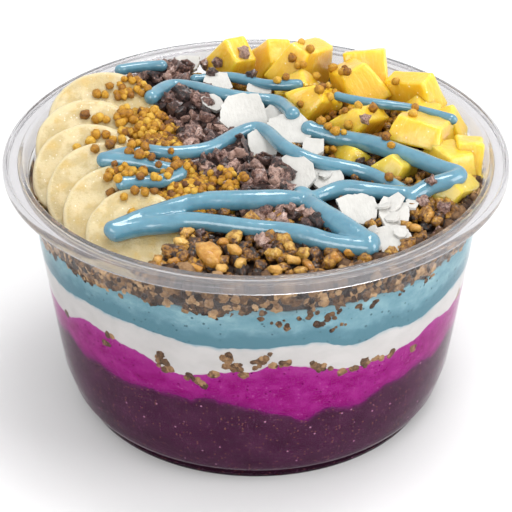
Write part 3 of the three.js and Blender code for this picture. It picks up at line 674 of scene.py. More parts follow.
def clear_plastic(name, shade, roughness, ior, clearness):
    """Clear plastic that lets lamps through to what lies behind it."""
    made = Finish(
        name, Base_Color=(*shade, 1), Roughness=roughness, IOR=ior,
        Transmission_Weight=clearness,
    )
    open_air = made.node("ShaderNodeBsdfTransparent", {"Color": (*shade, 1)})
    kind = made.node("ShaderNodeLightPath")
    mixed = made.node("ShaderNodeMixShader", {0: kind.outputs["Is Shadow Ray"]})
    made.tree.links.new(made.shader.outputs[0], mixed.inputs[1])
    made.tree.links.new(open_air.outputs[0], mixed.inputs[2])
    out = made.tree.nodes["Material Output"]
    made.tree.links.new(mixed.outputs[0], out.inputs["Surface"])
    return made.material


def blend_finish(name, tones, mottle, specks=(), bands=(), grain=0.12, lean=0.0):
    """A fruit blend against the wall, where it has no gloss of its own.

    tones are the light, usual and deep colours; specks are (spacing, share of them, colour);
    bands are (attribute, depth, softness, wave, colour), which tint the layer up to a depth.
    """
    made = Finish(name, Roughness=0.6, Specular_IOR_Level=0.0)
    light, usual, deep = tones
    slanted = made.spots(stretch=(1, 1, 1.7), turn=(lean, 0, 0))
    wide = made.noise(slanted, mottle, detail=6, roughness=0.62)
    shade = made.ramp(wide, (0.34, light), (0.5, usual), (0.66, deep))
    spots = made.spots()
    fine = made.noise(spots, 0.7, detail=5, roughness=0.7)
    shade = made.mix(shade, deep, made.times(made.share(fine, 0.5, 0.75), grain * 4))
    shade = made.mix(shade, light, made.times(made.share(fine, 0.5, 0.25), grain * 4))
    for attribute, depth, softness, wave, tint_colour in bands:
        reach = made.attribute(attribute).outputs["Fac"]
        ragged = made.noise(made.spots(stretch=(1, 1, 1.3)), 4.5, detail=7, roughness=0.6)
        moved = made.shifted(reach, ragged, 2 * wave)
        shade = made.mix(shade, tint_colour, made.share(moved, depth + softness, depth - softness))
    for spacing, amount, tint_colour in specks:
        cells = made.cells(spots, spacing)
        near = made.share(cells.outputs["Distance"], 0.32, 0.18)
        shade = made.mix(shade, tint_colour, made.times(near, made.some(cells, amount)))
    made.paint("Base Color", shade)
    made.bump(fine, 0.02)
    return made.material


def shade_core_finish(name, roughness, deep, light, size=1.6, detail=3):
    """A dark body under small lumps: its colour is painted shade for the gaps between them."""
    made = Finish(name, Roughness=roughness)
    pattern = made.noise(made.spots(), size, detail=detail)
    made.paint("Base Color", made.ramp(pattern, (0.35, deep), (0.65, light)))
    return made.material


def lump_finish(name, stops, grain, depth, contrast=0.9, **values):
    """Small lumps: each has its own tone, with a finer pattern over it."""
    made = Finish(name, **values)
    tone = made.attribute("tone").outputs["Fac"]
    spots = made.spots()
    pattern = made.noise(spots, grain, detail=4, roughness=0.65)
    made.paint("Base Color", made.ramp(made.shifted(tone, pattern, contrast), *stops))
    made.bump(made.noise(spots, grain * 0.6, detail=5, roughness=0.7), depth)
    return made.material


# ---- Settings that a user may change ----


class BowlSizes(bpy.types.PropertyGroup):
    """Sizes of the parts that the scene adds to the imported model"""

    sides: IntProperty(
        name="Bowl sides", description="Steps round the bowl and its layers", default=192,
        min=48, max=512,
    )
    crumb: FloatProperty(
        name="Granola crumb", description="Usual radius of a granola crumb", default=0.0021,
        min=0.001, max=0.005, unit="LENGTH",
    )
    bead: FloatProperty(
        name="Pollen bead", description="Radius of a bee pollen bead", default=0.00145,
        min=0.0008, max=0.003, unit="LENGTH",
    )
    nib: FloatProperty(
        name="Cacao nib", description="Usual radius of a cacao nib", default=0.002,
        min=0.001, max=0.004, unit="LENGTH",
    )
    chip: FloatProperty(
        name="Coconut thickness", description="Thickness of a coconut chip", default=0.0012,
        min=0.0005, max=0.003, unit="LENGTH",
    )
    drizzle_cell: FloatProperty(
        name="Drizzle cell", description="Size of the cells that join the drizzle strands",
        default=0.0005, min=0.0003, max=0.002, unit="LENGTH",
    )


def tint(name, red, green, blue):
    return FloatVectorProperty(
        name=name, description=f"Main colour of the {name.lower()}", subtype="COLOR",
        default=colour(red, green, blue), min=0, max=1,
    )


class BowlColours(bpy.types.PropertyGroup):
    """Main colours of the food"""

    acai: tint("Acai blend", 64, 32, 54)
    pitaya: tint("Pitaya blend", 134, 22, 108)
    yogurt: tint("Yogurt", 184, 181, 179)
    blue: tint("Blue blend", 114, 149, 159)
    banana: tint("Banana", 198, 178, 128)
    pineapple: tint("Pineapple", 232, 189, 48)
    coconut: tint("Coconut", 197, 195, 190)
    drizzle: tint("Drizzle", 90, 139, 158)


def chosen(name):
    return tuple(getattr(bpy.context.scene.fruit_bowl_colours, name))


def sizes():
    return bpy.context.scene.fruit_bowl_sizes


# ---- Operators ----


class AddBowl(bpy.types.Operator):
    """Adds the clear bowl with its flat rim"""

    bl_idname = "fruit_bowl.bowl"
    bl_label = "Bowl"

    def execute(self, context):
        bm = turn_section(BOWL_SECTION, sizes().sides)
        for face in bm.faces:
            middle = face.calc_center_median()
            face.material_index = 1 if middle.z > RIM_FROM else 2 if middle.z > NECK_FROM else 0
        wall = clear_plastic("clear_wall", (0.95, 0.95, 0.96), 0.04, 1.13, 1.0)
        shell = finish_piece("bowl_shell", bm, wall, "clear", ["bowl"])
        # Painted shade: the rim and the neck get greyer, less clear tints than the wall, for the
        # darker look that reflections and shadow give the plastic there.
        rim = clear_plastic("clear_rim", (0.69, 0.68, 0.695), 0.1, 1.35, 0.91)
        neck = clear_plastic("clear_neck", (0.86, 0.85, 0.85), 0.03, 1.25, 0.98)
        shell.data.materials.append(rim)
        shell.data.materials.append(neck)
        return {"FINISHED"}


class AddLayers(bpy.types.Operator):
    """Adds the four layers of fruit blend and yogurt"""

    bl_idname = "fruit_bowl.layers"
    bl_label = "Layers"

    def layer(self, name, material, bottom, top, reach, ragged):
        """A layer from wall to wall whose side reaches that far into the wall."""
        steps = [0, 0.2, 0.4, 0.6, 0.75, 0.86, 0.93, 0.97, 1]
        rings = [0.97, 0.8, 0.5]
        section = [(0, 0)] + [(r, 0) for r in (0.9, 0.94, 0.985)] + [(1, s) for s in steps]
        section += [(r, 1.0) for r in rings] + [(0, 1)]
        bm = turn_section(section, 3 * sizes().sides)
        under = bm.verts.layers.float.new("under_top")
        over = bm.verts.layers.float.new("over_base")
        for v in bm.verts:
            out, angle = out_and_angle(v.co)
            if bottom is None:
                low, lap = along(FOOT_LINE, FOOT_RADIUS * out), 0
            else:
                low, lap = surface(bottom, angle, out) - LAYER_LAP, LAYER_LAP
            high = surface(top, angle, out)
            if out > 0.9:
                spot = Vector((*polar(9, angle), 20 * reach))
                high += 0.4 * noise.fractal(spot, 1.0, 2.0, 4)
                high += ragged * noise.fractal(4 * spot, 1.0, 2.0, 4)
            height = low + (high - low) * v.co.z
            v[under] = high - height
            v[over] = height - low - lap
            radius = out * min(wall_radius(height) + reach, along(SKIN_LINE, height) - 0.25)
            v.co = Vector((*polar(radius, angle), height))
        bmesh.ops.recalc_face_normals(bm, faces=bm.faces)
        finish_piece(f"{name}_fill", bm, material, name, [f"{name}_layer"], sharp=50)

    def execute(self, context):
        acai, pitaya = chosen("acai"), chosen("pitaya")
        white, blue = chosen("yogurt"), chosen("blue")
        finishes = {
            "acai": blend_finish(
                "acai_blend", [colour(72, 37, 61), acai, colour(56, 27, 47)], 9,
                specks=[
                    (0.8, 0.36, colour(108, 62, 92)), (1.0, 0.24, colour(118, 72, 66)),
                    (1.3, 0.05, colour(160, 108, 138)),
                ],
                grain=0.05,
                bands=[
                    ("under_top", 0.5, 1.6, 1.6, colour(103, 26, 89)),
                    # Painted shade: the lowest 3.6 mm of the acai, in the foot, is tinted darker.
                    ("over_base", 3.6, 0.7, 0.2, colour(38, 18, 31)),
                ],
            ),
            "pitaya": blend_finish(
                "pitaya_blend", [colour(146, 38, 120), pitaya, colour(122, 9, 91)], 5,
                specks=[(1.3, 0.2, colour(93, 5, 69)), (1.0, 0.14, colour(160, 72, 139))],
                grain=0.25,
                bands=[
                    ("under_top", 1.6, 3.0, 3.0, colour(152, 52, 128)),
                    ("over_base", 0.8, 2.4, 2.0, colour(107, 22, 89)),
                ],
                lean=0.5,
            ),
            "yogurt": blend_finish(
                "yogurt_white", [colour(190, 187, 185), white, colour(178, 175, 173)], 12,
                bands=[
                    ("under_top", 0.3, 0.9, 1.8, colour(138, 160, 169)),
                    ("over_base", 0.0, 0.5, 0.6, colour(172, 129, 160)),
                ],
                grain=0.04,
            ),
            "blue": blend_finish(
                "blue_blend", [colour(136, 168, 175), blue, colour(101, 138, 149)], 8,
                specks=[(1.1, 0.12, colour(57, 84, 93)), (1.6, 0.1, colour(74, 101, 110))],
                bands=[("over_base", 5.4, 2.4, 4.0, colour(84, 120, 132))],
            ),
        }
        bottom = None
        for name, top, reach, ragged in (
            ("acai", ACAI_TOP, 0.3, 0.5), ("pitaya", PITAYA_TOP, 0.24, 0.4),
            ("yogurt", YOGURT_TOP, 0.18, 0.25), ("blue", BLUE_TOP, 0.12, 0.2),
        ):
            self.layer(name, finishes[name], bottom, top, reach, ragged)
            bottom = top
        return {"FINISHED"}


class AddGranola(bpy.types.Operator):
    """Adds the bed of granola, its crumbs along the wall and over the top"""

    bl_idname = "fruit_bowl.granola"
    bl_label = "Granola"

    def execute(self, context):
        rng = random.Random(11)
        self.lay_bed()
        self.strew_top(rng)
        self.strew_nuts()
        self.press_side(rng)
        return {"FINISHED"}

    def lay_bed(self):
        # Painted shade: the bed is dark brown, for the gaps between the crumbs on it.
        deep, light = colour(26, 15, 11), colour(56, 34, 22)
        core = shade_core_finish("granola_core", 0.8, deep, light, size=1.5, detail=5)
        rings = [0.96, 0.92, 0.88, 0.84, 0.8, 0.76, 0.72, 0.68, 0.64, 0.6, 0.5, 0.4, 0.2, 0]
        section = [(0, 0), (1, 0), (1, 0.5), (1, 1)] + [(r, 1) for r in rings]
        bm = turn_section(section, sizes().sides)
        for v in bm.verts:
            out, angle = out_and_angle(v.co)
            x, y = polar(out * LIP_RADIUS, angle)
            low = surface(BLUE_TOP, angle, out) - 1
            height = low + (bed_height(x, y) - 0.8 - low) * v.co.z
            radius = out * (wall_radius(height) - 0.4)
            v.co = Vector((*polar(radius, angle), height))
        bmesh.ops.recalc_face_normals(bm, faces=bm.faces)
        finish_piece("granola_bed", bm, core, "granola", ["granola"], sharp=50)

    def strew_top(self, rng):
        """Crumbs over the whole bed, more along the front, then some in what is left bare."""
        crumb = sizes().crumb / MM
        stops = [
            (0.22, colour(22, 11, 7)), (0.4, colour(62, 34, 13)), (0.54, colour(124, 79, 24)),
            (0.76, colour(184, 131, 38)), (1.0, colour(226, 184, 92)),
        ]
        loose = lump_finish(
            "granola_crumb", stops, 1.4, 0.8, 1.4, Roughness=0.34, Coat_Weight=0.4,
            Coat_Roughness=0.06,
        )
        top = Scatter("crumb", 12, 0.06)
        discs = flat_toppings()
        for _ in range(TOP_CRUMBS):
            radius = TOP_REACH * math.sqrt(rng.random())
            angle = rng.random() * math.tau
            if rng.random() < 0.36:
                radius, angle = 40 + 27 * rng.random(), -math.pi * (0.1 + 0.8 * rng.random())
            x, y = polar(radius, angle)
            front = y < BARE_FRONT and radius > 35
            grown = rng.random() ** 2
            size = crumb * ((0.52 if front else 0.45) + (0.75 if front else 0.45) * grown)
            room = wall_radius(TOP_AT_WALL) - 0.3 - size
            if radius > room:
                x, y = x * room / radius, y * room / radius
            lift = rng.random()
            z = bed_height(x, y) + 2.8 * lift - 1.0
            if self.covered(discs, (x, y, z), size):
                continue
            # Painted shade: crumbs that sit lower get darker tones; the rest of the tone differs
            # at random.
            tone = 0.02 + 0.56 * lift + 0.34 * rng.random()
            stretch = [size * (0.75 + 0.5 * rng.random()) for _ in range(3)]
            top.add((x, y, z), stretch, tone)
        fill = random.Random(15)
        for _ in range(FILL_CRUMBS):
            radius, angle = FILL_REACH * math.sqrt(fill.random()), fill.random() * math.tau
            x, y = polar(radius, angle)
            size, lift = crumb * (0.5 + 0.6 * fill.random() ** 2), fill.random()
            z = bed_height(x, y) + 1.6 * lift - 0.6
            if y < BARE_FRONT or self.covered(discs, (x, y, z), size):
                continue
            stretch = [size * (0.75 + 0.5 * fill.random()) for _ in range(3)]
            # Painted shade here too: lower crumbs get darker tones.
            top.add((x, y, z), stretch, 0.05 + 0.5 * lift + 0.35 * fill.random())
        finish_piece("granola_top", top.done(), loose, "granola")

    def strew_nuts(self):
        stops = [
            (0.1, colour(90, 50, 18)), (0.45, colour(186, 124, 30)), (1.0, colour(226, 182, 96)),
        ]
        roasted = lump_finish(
            "roasted_nut", stops, 1.8, 0.7, 1.1, Roughness=0.32, Coat_Weight=0.4,
            Coat_Roughness=0.05,
        )
        nuts = Scatter("nut", 14, 0.05)
        for x, y, length, tone, turn in NUTS:
            lean = Matrix.Rotation(math.radians(turn), 4, "Z") @ Matrix.Rotation(0.3, 4, "Y")
            place = (x, y, bed_height(x, y) + 2.2)
            nuts.add(place, (length, 0.62 * length, 0.58 * length), tone, lean)
        finish_piece("granola_nuts", nuts.done(), roasted, "granola")

    def press_side(self, rng):
        """Crumbs along the wall: in the bed's edge, and sunk in the layers."""
        crumb = sizes().crumb / MM
        # Painted shade: these crumbs get darker, greyer colours than those on top, as the band
        # below the rim lies in shadow.
        stops = [
            (0.05, colour(44, 35, 33)), (0.35, colour(90, 68, 52)), (0.6, colour(134, 103, 74)),
            (0.85, colour(170, 136, 98)), (1.0, colour(196, 164, 124)),
        ]
        pressed = lump_finish(
            "granola_pressed", stops, 1.2, 0.3, Roughness=0.6, Specular_IOR_Level=0.1
        )
        side = Scatter("bead", 13, 0.16)
        for _ in range(SIDE_CRUMBS):
            angle = rng.random() * math.tau
            low = around(BLUE_TOP, angle) - 0.5
            z = low + (bed_height(*polar(LIP_RADIUS, angle)) + 3 - low) * rng.random()
            size = crumb * (0.42 + 0.75 * rng.random() ** 1.5)
            self.press(side, rng, angle, z, size, 0.05 + 0.95 * rng.random())
        for heaps, least, spare in ((CLUSTERS, 0.36, 0.42), (SUNK, 0.22, 0.3)):
            for degrees, z, count, spread in heaps:
                for _ in range(count):
                    angle = math.radians(degrees) + spread / 62 * rng.gauss(0, 0.5)
                    place = z + 0.55 * spread * rng.gauss(0, 0.5)
                    tone = (0.15 if heaps is SUNK else 0.3) + 0.45 * rng.random()
                    size = crumb * (least + spare * rng.random())
                    self.press(side, rng, angle, place, size, tone, sunk=True)
        finish_piece("granola_side", side.done(), pressed, "granola")

    @staticmethod
    def covered(discs, at, size):
        """Whether a crumb there would hide or cut through a flat topping."""
        for inward, radius in discs:
            own = inward @ Vector(at)
            if own.xy.length < radius + 0.4 * size and -3 - 0.6 * size < own.z < 9:
                return True
        return False

    @staticmethod
    def press(side, rng, angle, z, size, tone, sunk=False):
        """A crumb flattened against the wall, or sunk in the layer that lies behind the wall."""
        depth = 0.45 if sunk else 0.75 * size
        radius = wall_radius(z) + (0.05 if sunk else 0.42 - depth)
        at = (*polar(radius, angle), z)
        lean = Matrix.Rotation(angle, 4, "Z") @ Matrix.Rotation(rng.random() * math.tau, 4, "X")
        wide = size * (0.85 + 0.35 * rng.random())
        side.add(at, (depth, wide, size), tone, lean)


class AddBananas(bpy.types.Operator):
    """Adds the fan of banana slices"""

    bl_idname = "fruit_bowl.bananas"
    bl_label = "Banana slices"

    def execute(self, context):
        flesh = self.flesh()
        half = BANANA_THICKNESS / 2
        for i, (at, turn, radius) in enumerate(BANANAS):
            edge = [(radius - 1.6, -half), (radius - 0.7, 0.25 - half), (radius - 0.2, 0.9 - half)]
            rim = edge + [(radius, 0)] + [(r, -z) for r, z in reversed(edge)]
            flat = [radius * share for share in (0.85, 0.6, 0.3)]
            section = [(0, -half)] + [(r, -half) for r in reversed(flat)] + rim
            section += [(r, half) for r in flat] + [(0, half)]
            bm = turn_section(section, 72)
            map_uv = bm.loops.layers.uv.new("face")
            for v in bm.verts:
                angle = math.atan2(v.co.y, v.co.x)
                bend = noise.noise(Vector((*polar(1.3, angle), 7 * i)))
                v.co.xy *= 0.985 + 0.03 * bend
            roughen(bm, 5, 0.22, seed=i)
            for face in bm.faces:
                for loop in face.loops:
                    loop[map_uv].uv = (loop.vert.co.x / radius, loop.vert.co.y / radius)
            bmesh.ops.transform(bm, matrix=set_down(at, turn), verts=bm.verts)
            finish_piece(f"banana_slice_{i + 1}", bm, flesh, "banana", [f"banana_{i + 1}"])
        return {"FINISHED"}

    def flesh(self):
        made = Finish(
            "banana_flesh", Roughness=0.3, Subsurface_Weight=0.35, Subsurface_Scale=0.005,
            Subsurface_Radius=(1.0, 0.8, 0.5), Coat_Weight=0.5, Coat_Roughness=0.16,
        )
        pale = chosen("banana")
        face = made.node("ShaderNodeUVMap", uv_map="face").outputs[0]
        length = made.node("ShaderNodeVectorMath", {0: face}, operation="LENGTH").outputs["Value"]
        rays = made.noise(face, 0.3, detail=3)
        warm = made.times(made.share(rays, 0.42, 0.7), 0.7)
        shade = made.mix(pale, colour(208, 176, 100), warm)
        cloudy = made.share(made.noise(made.spots(), 5, detail=4), 0.42, 0.62)
        shade = made.mix(shade, colour(224, 208, 166), made.times(cloudy, 0.7))
        core = made.share(length, 0.34, 0.16)
        seeds = made.times(core, made.share(made.noise(face, 0.05), 0.45, 0.65))
        shade = made.mix(shade, colour(196, 162, 104), made.times(seeds, 0.4))
        # Painted highlight: a lighter band near the rim, where light catches the slice's edge.
        rim_highlight = made.share(length, 0.88, 0.94)
        shade = made.mix(shade, colour(222, 206, 164), made.times(rim_highlight, 0.8))
        # Painted shade: a darker band round the slice's side, for the shadow in the gap between
        # slices.
        edge_shade = made.share(length, 0.965, 0.985)
        shade = made.mix(shade, colour(180, 156, 104), made.times(edge_shade, 0.9))
        # Painted highlights: bright glints mixed into the colour of the flesh.
        painted_glint = made.painted_glints(1.0, 0.5)
        made.paint("Base Color", made.mix(shade, colour(252, 246, 228), painted_glint))
        made.bump(made.noise(made.spots(), 0.8, detail=5, roughness=0.65), 0.55)
        return made.material


class AddPineapple(bpy.types.Operator):
    """Adds the pineapple chunks"""

    bl_idname = "fruit_bowl.pineapple"
    bl_label = "Pineapple chunks"

    def execute(self, context):
        flesh = self.flesh()
        for i, (at, turn, size, top, green) in enumerate(PINEAPPLES):
            roll = dice(CHUNK_SEED + i)
            corners = []
            for corner in range(8):
                x, y, z = (1 if corner & bit else -1 for bit in (1, 2, 4))
                narrow = top if z > 0 else (1, 1)
                reach = (size[0] / 2 * narrow[0], size[1] / 2 * narrow[1], size[2] / 2)
                pairs = zip((x, y, z), reach)
                corners.append(Vector(way * r * (0.97 + 0.1 * roll()) for way, r in pairs))
            bm = bmesh.new()
            bmesh.ops.create_cube(bm, size=2)
            for v in bm.verts:
                v.co = corners[(v.co.x > 0) + 2 * (v.co.y > 0) + 4 * (v.co.z > 0)]
            bmesh.ops.bevel(
                bm, geom=bm.edges[:], offset=1.0, offset_type="OFFSET", segments=3,
                affect="EDGES", profile=0.5, material=-1, clamp_overlap=True,
            )
            bmesh.ops.subdivide_edges(bm, edges=bm.edges[:], cuts=3, use_grid_fill=True)
            for _ in range(3):
                bmesh.ops.smooth_vert(
                    bm, verts=bm.verts, factor=0.5, use_axis_x=True, use_axis_y=True,
                    use_axis_z=True,
                )
            roughen(bm, 4, 0.4, seed=i, stretch=(1.2, 1.2, 0.5))
            grain = bm.verts.layers.float_vector.new("grain")
            ripe = bm.verts.layers.float.new("green")
            for v in bm.verts:
                v[grain] = v.co
                v[ripe] = green
            bmesh.ops.transform(bm, matrix=set_down(at, turn), verts=bm.verts)
            node = f"pineapple_{i + 1}"
            finish_piece(f"pineapple_chunk_{i + 1}", bm, flesh, "pineapple", [node])
        return {"FINISHED"}

    def flesh(self):
        made = Finish(
            "pineapple_flesh", Roughness=0.3, Subsurface_Weight=0.8, Subsurface_Scale=0.006,
            Subsurface_Radius=(1.0, 0.9, 0.45), Coat_Weight=0.5, Coat_Roughness=0.06,
        )
        grain = made.attribute("grain").outputs["Vector"]
        lengthwise = made.node("ShaderNodeMapping", {"Vector": grain, "Scale": (1, 1, 0.14)})
        threads = made.noise(lengthwise.outputs[0], 1.1, detail=4, roughness=0.6)
        cloudy = made.noise(made.spots(), 5, detail=3)
        shade = made.mix(chosen("pineapple"), colour(230, 184, 30), made.share(cloudy, 0.45, 0.75))
        shade = made.mix(shade, colour(242, 209, 96), made.share(cloudy, 0.45, 0.25))
        lines = made.times(made.share(threads, 0.48, 0.3), 0.22)
        shade = made.mix(shade, colour(250, 232, 150), lines)
        green = made.attribute("green").outputs["Fac"]
        shade = made.mix(shade, colour(196, 180, 62), green)
        # Painted highlights: bright glints mixed into the colour of the flesh.
        made.paint("Base Color", made.mix(shade, colour(255, 250, 214), made.painted_glints(1.3, 0.25)))
        wet = made.noise(made.spots(), 1.4, detail=4)
        made.bump(made.math("ADD", threads, wet), 0.22)
        return made.material


class AddCoconut(bpy.types.Operator):
    """Adds the coconut chips and the shreds between them"""

    bl_idname = "fruit_bowl.coconut"
    bl_label = "Coconut"

    def execute(self, context):
        flesh = self.flesh()
        half = sizes().chip / MM / 2
        steps = CHIP_SIDES * CHIP_STEPS
        for i, (at, size, turn) in enumerate(COCONUTS):
            roll = dice(CHIP_SEED + i)
            ragged = [0.78 + 0.3 * roll() for _ in range(CHIP_SIDES)]
            curl = 0.012 + 0.02 * roll()
            shares = (0.3, 0.6, 0.85, 1)
            section = [(0, -half)] + [(r, -half) for r in shares]
            section += [(r, half) for r in reversed(shares)] + [(0, half)]
            bm = turn_section(section, steps)
            teeth = random.Random(40 + i)
            notches = [1 - 0.3 * max(0, teeth.random() - 0.8) for _ in range(steps)]
            turns = [math.tau * k / CHIP_SIDES for k in range(CHIP_SIDES)]
            corners = [Vector(polar(1, t)) * r for t, r in zip(turns, ragged)]
            for v in bm.verts:
                out = v.co.xy.length
                place = round(math.atan2(v.co.y, v.co.x) / math.tau * steps) % steps
                first, share = divmod(place, CHIP_STEPS)
                edge = corners[first].lerp(corners[(first + 1) % CHIP_SIDES], share / CHIP_STEPS)
                edge *= 1.12 * out * notches[place]
                v.co.x, v.co.y = edge.x * size[0] / 2, edge.y * size[1] / 2
                v.co.z += curl * v.co.x**2 - 0.5 * curl * v.co.y**2
            roughen(bm, 3, 0.1, seed=i)
            bmesh.ops.transform(bm, matrix=set_down(at, turn), verts=bm.verts)
            finish_piece(f"coconut_chip_{i + 1}", bm, flesh, "coconut", [f"coconut_{i + 1}"], 40)
        drop = seen_from_above([n for n in LAID if n.startswith(("granola", "coconut"))])
        shreds = Scatter("flake", 41, 0.2)
        rng = random.Random(42)
        for _ in range(12):
            (x, y, _), _, _ = rng.choice(COCONUTS + 3 * COCONUTS[-4:])
            x, y = x + 4 * rng.gauss(0, 1), y + 4 * rng.gauss(0, 1)
            if math.hypot(x, y) > 62:
                continue
            long = 2.0 + 2.2 * rng.random()
            lean = Matrix.Rotation(rng.gauss(0, 0.35), 4, "X")
            lean = lean @ Matrix.Rotation(rng.gauss(0, 0.35), 4, "Y")
            lean = lean @ Matrix.Rotation(rng.random() * math.tau, 4, "Z")
            place = (x, y, drop(x, y) - 0.1)
            shreds.add(place, (long, long * (0.5 + 0.4 * rng.random()), 0.8), 1.0, lean)
        finish_piece("coconut_shreds", shreds.done(), flesh, "coconut", sharp=40)
        return {"FINISHED"}

    def flesh(self):
        made = Finish(
            "coconut_flesh", Roughness=0.55, Subsurface_Weight=0.2, Subsurface_Scale=0.003,
            Subsurface_Radius=(1.0, 1.0, 0.9),
        )
        pattern = made.share(made.noise(made.spots(), 2.4, detail=5, roughness=0.6), 0.35, 0.7)
        made.paint("Base Color", made.mix(chosen("coconut"), colour(190, 188, 183), pattern))
        fibres = made.noise(made.spots(stretch=(1, 0.3, 1), turn=(0, 0, 0.5)), 0.8, detail=5)
        made.bump(fibres, 0.2)
        return made.material


def heap_spots(heaps, rng, count):
    """Random spots on heaps, more on the larger ones."""
    weights = [reach[0] * reach[1] for _, reach, _, _ in heaps]
    for _ in range(count):
        (x, y), reach, top, turn = rng.choices(heaps, weights)[0]
        base = bed_height(x, y) - HEAP_DEPTH
        out = math.sqrt(rng.random())
        angle = rng.random() * math.tau
        spot = Vector((
            reach[0] * out * math.cos(angle), reach[1] * out * math.sin(angle),
            (top - base) * math.sqrt(1 - out * out),
        ))
        spot.rotate(Matrix.Rotation(math.radians(turn), 3, "Z"))
        yield inside_wall(spot + Vector((x, y, base)), HEAP_ROOM)


def heap_core(heaps, shrink):
    """The bodies of the heaps, a little smaller than what lies on them."""
    bm = bmesh.new()
    for (x, y), reach, top, turn in heaps:
        base = bed_height(x, y) - HEAP_DEPTH
        size = Matrix.Diagonal((reach[0] - shrink, reach[1] - shrink, top - base - shrink, 1))
        place = Matrix.Translation((x, y, base)) @ Matrix.Rotation(math.radians(turn), 4, "Z")
        bmesh.ops.create_uvsphere(bm, u_segments=24, v_segments=14, radius=1, matrix=place @ size)
    for v in bm.verts:
        inside_wall(v.co, CORE_ROOM)
    return bm


def under_drizzle(x, y, reach):
    """Height of the drizzle's underside over a spot, or a great height where there is none."""
    low = 1000.0
    for _, path in (strand for strands in DRIZZLES for strand in strands):
        for start, stop in zip(path, path[1:]):
            run = Vector(stop) - Vector(start)
            share = ((x - start[0]) * run.x + (y - start[1]) * run.y) / (run.x**2 + run.y**2)
            near = Vector(start) + run * min(max(share, 0), 1)
            if math.hypot(x - near.x, y - near.y) < 2 + 0.6 * reach:
                low = min(low, near.z)
    return low


class AddDrizzle(bpy.types.Operator):
    """Adds the strands of thick blue drizzle"""

    bl_idname = "fruit_bowl.drizzle"
    bl_label = "Drizzle"

    def execute(self, context):
        gloss = Finish(
            "drizzle_gloss", Roughness=0.16, Coat_Weight=0.8, Coat_Roughness=0.03,
            Subsurface_Weight=0.1, Subsurface_Scale=0.003,
        )
        shade = gloss.mix(
            chosen("drizzle"), colour(78, 127, 147),
            gloss.share(gloss.noise(gloss.spots(), 4, detail=3), 0.4, 0.7),
        )
        gloss.paint("Base Color", shade)
        gloss.bump(gloss.noise(gloss.spots(), 2.5, detail=2), 0.2)
        for i, strands in enumerate(DRIZZLES):
            curve = bpy.data.curves.new(f"drizzle_line_{i + 1}", "CURVE")
            curve.dimensions = "3D"
            curve.bevel_depth = 1.0
            curve.bevel_resolution = 4
            curve.use_fill_caps = True
            curve.resolution_u = 10
            for radius, path in strands:
                line = curve.splines.new("NURBS")
                line.points.add(len(path) - 1)
                line.use_endpoint_u = True
                line.order_u = 3
                for point, spot in zip(line.points, path):
                    point.co = (*spot, 1)
                    point.radius = radius * (1 + 0.3 * noise.noise(Vector(spot) / 7))
            piece = bpy.data.objects.new(f"drizzle_line_{i + 1}", curve)
            context.scene.collection.objects.link(piece)
            context.view_layer.update()
            graph = context.evaluated_depsgraph_get()
            mesh = bpy.data.meshes.new_from_object(piece.evaluated_get(graph))
            bpy.data.objects.remove(piece)
            bm = bmesh.new()
            bm.from_mesh(mesh)
            for radius, path in strands:
                for spot in (path[0], path[-1]):
                    bmesh.ops.create_uvsphere(
                        bm, u_segments=16, v_segments=10, radius=radius * 1.06,
                        matrix=Matrix.Translation(spot),
                    )
            made = finish_piece(
                f"drizzle_strand_{i + 1}", bm, gloss.material, "drizzle", [f"drizzle_{i + 1}"]
            )
            join = made.modifiers.new("join", "REMESH")
            join.mode = "VOXEL"
            join.voxel_size = sizes().drizzle_cell
            join.use_smooth_shade = True
            ease = made.modifiers.new("ease", "SMOOTH")
            ease.factor = 0.5
            ease.iterations = 8
        return {"FINISHED"}


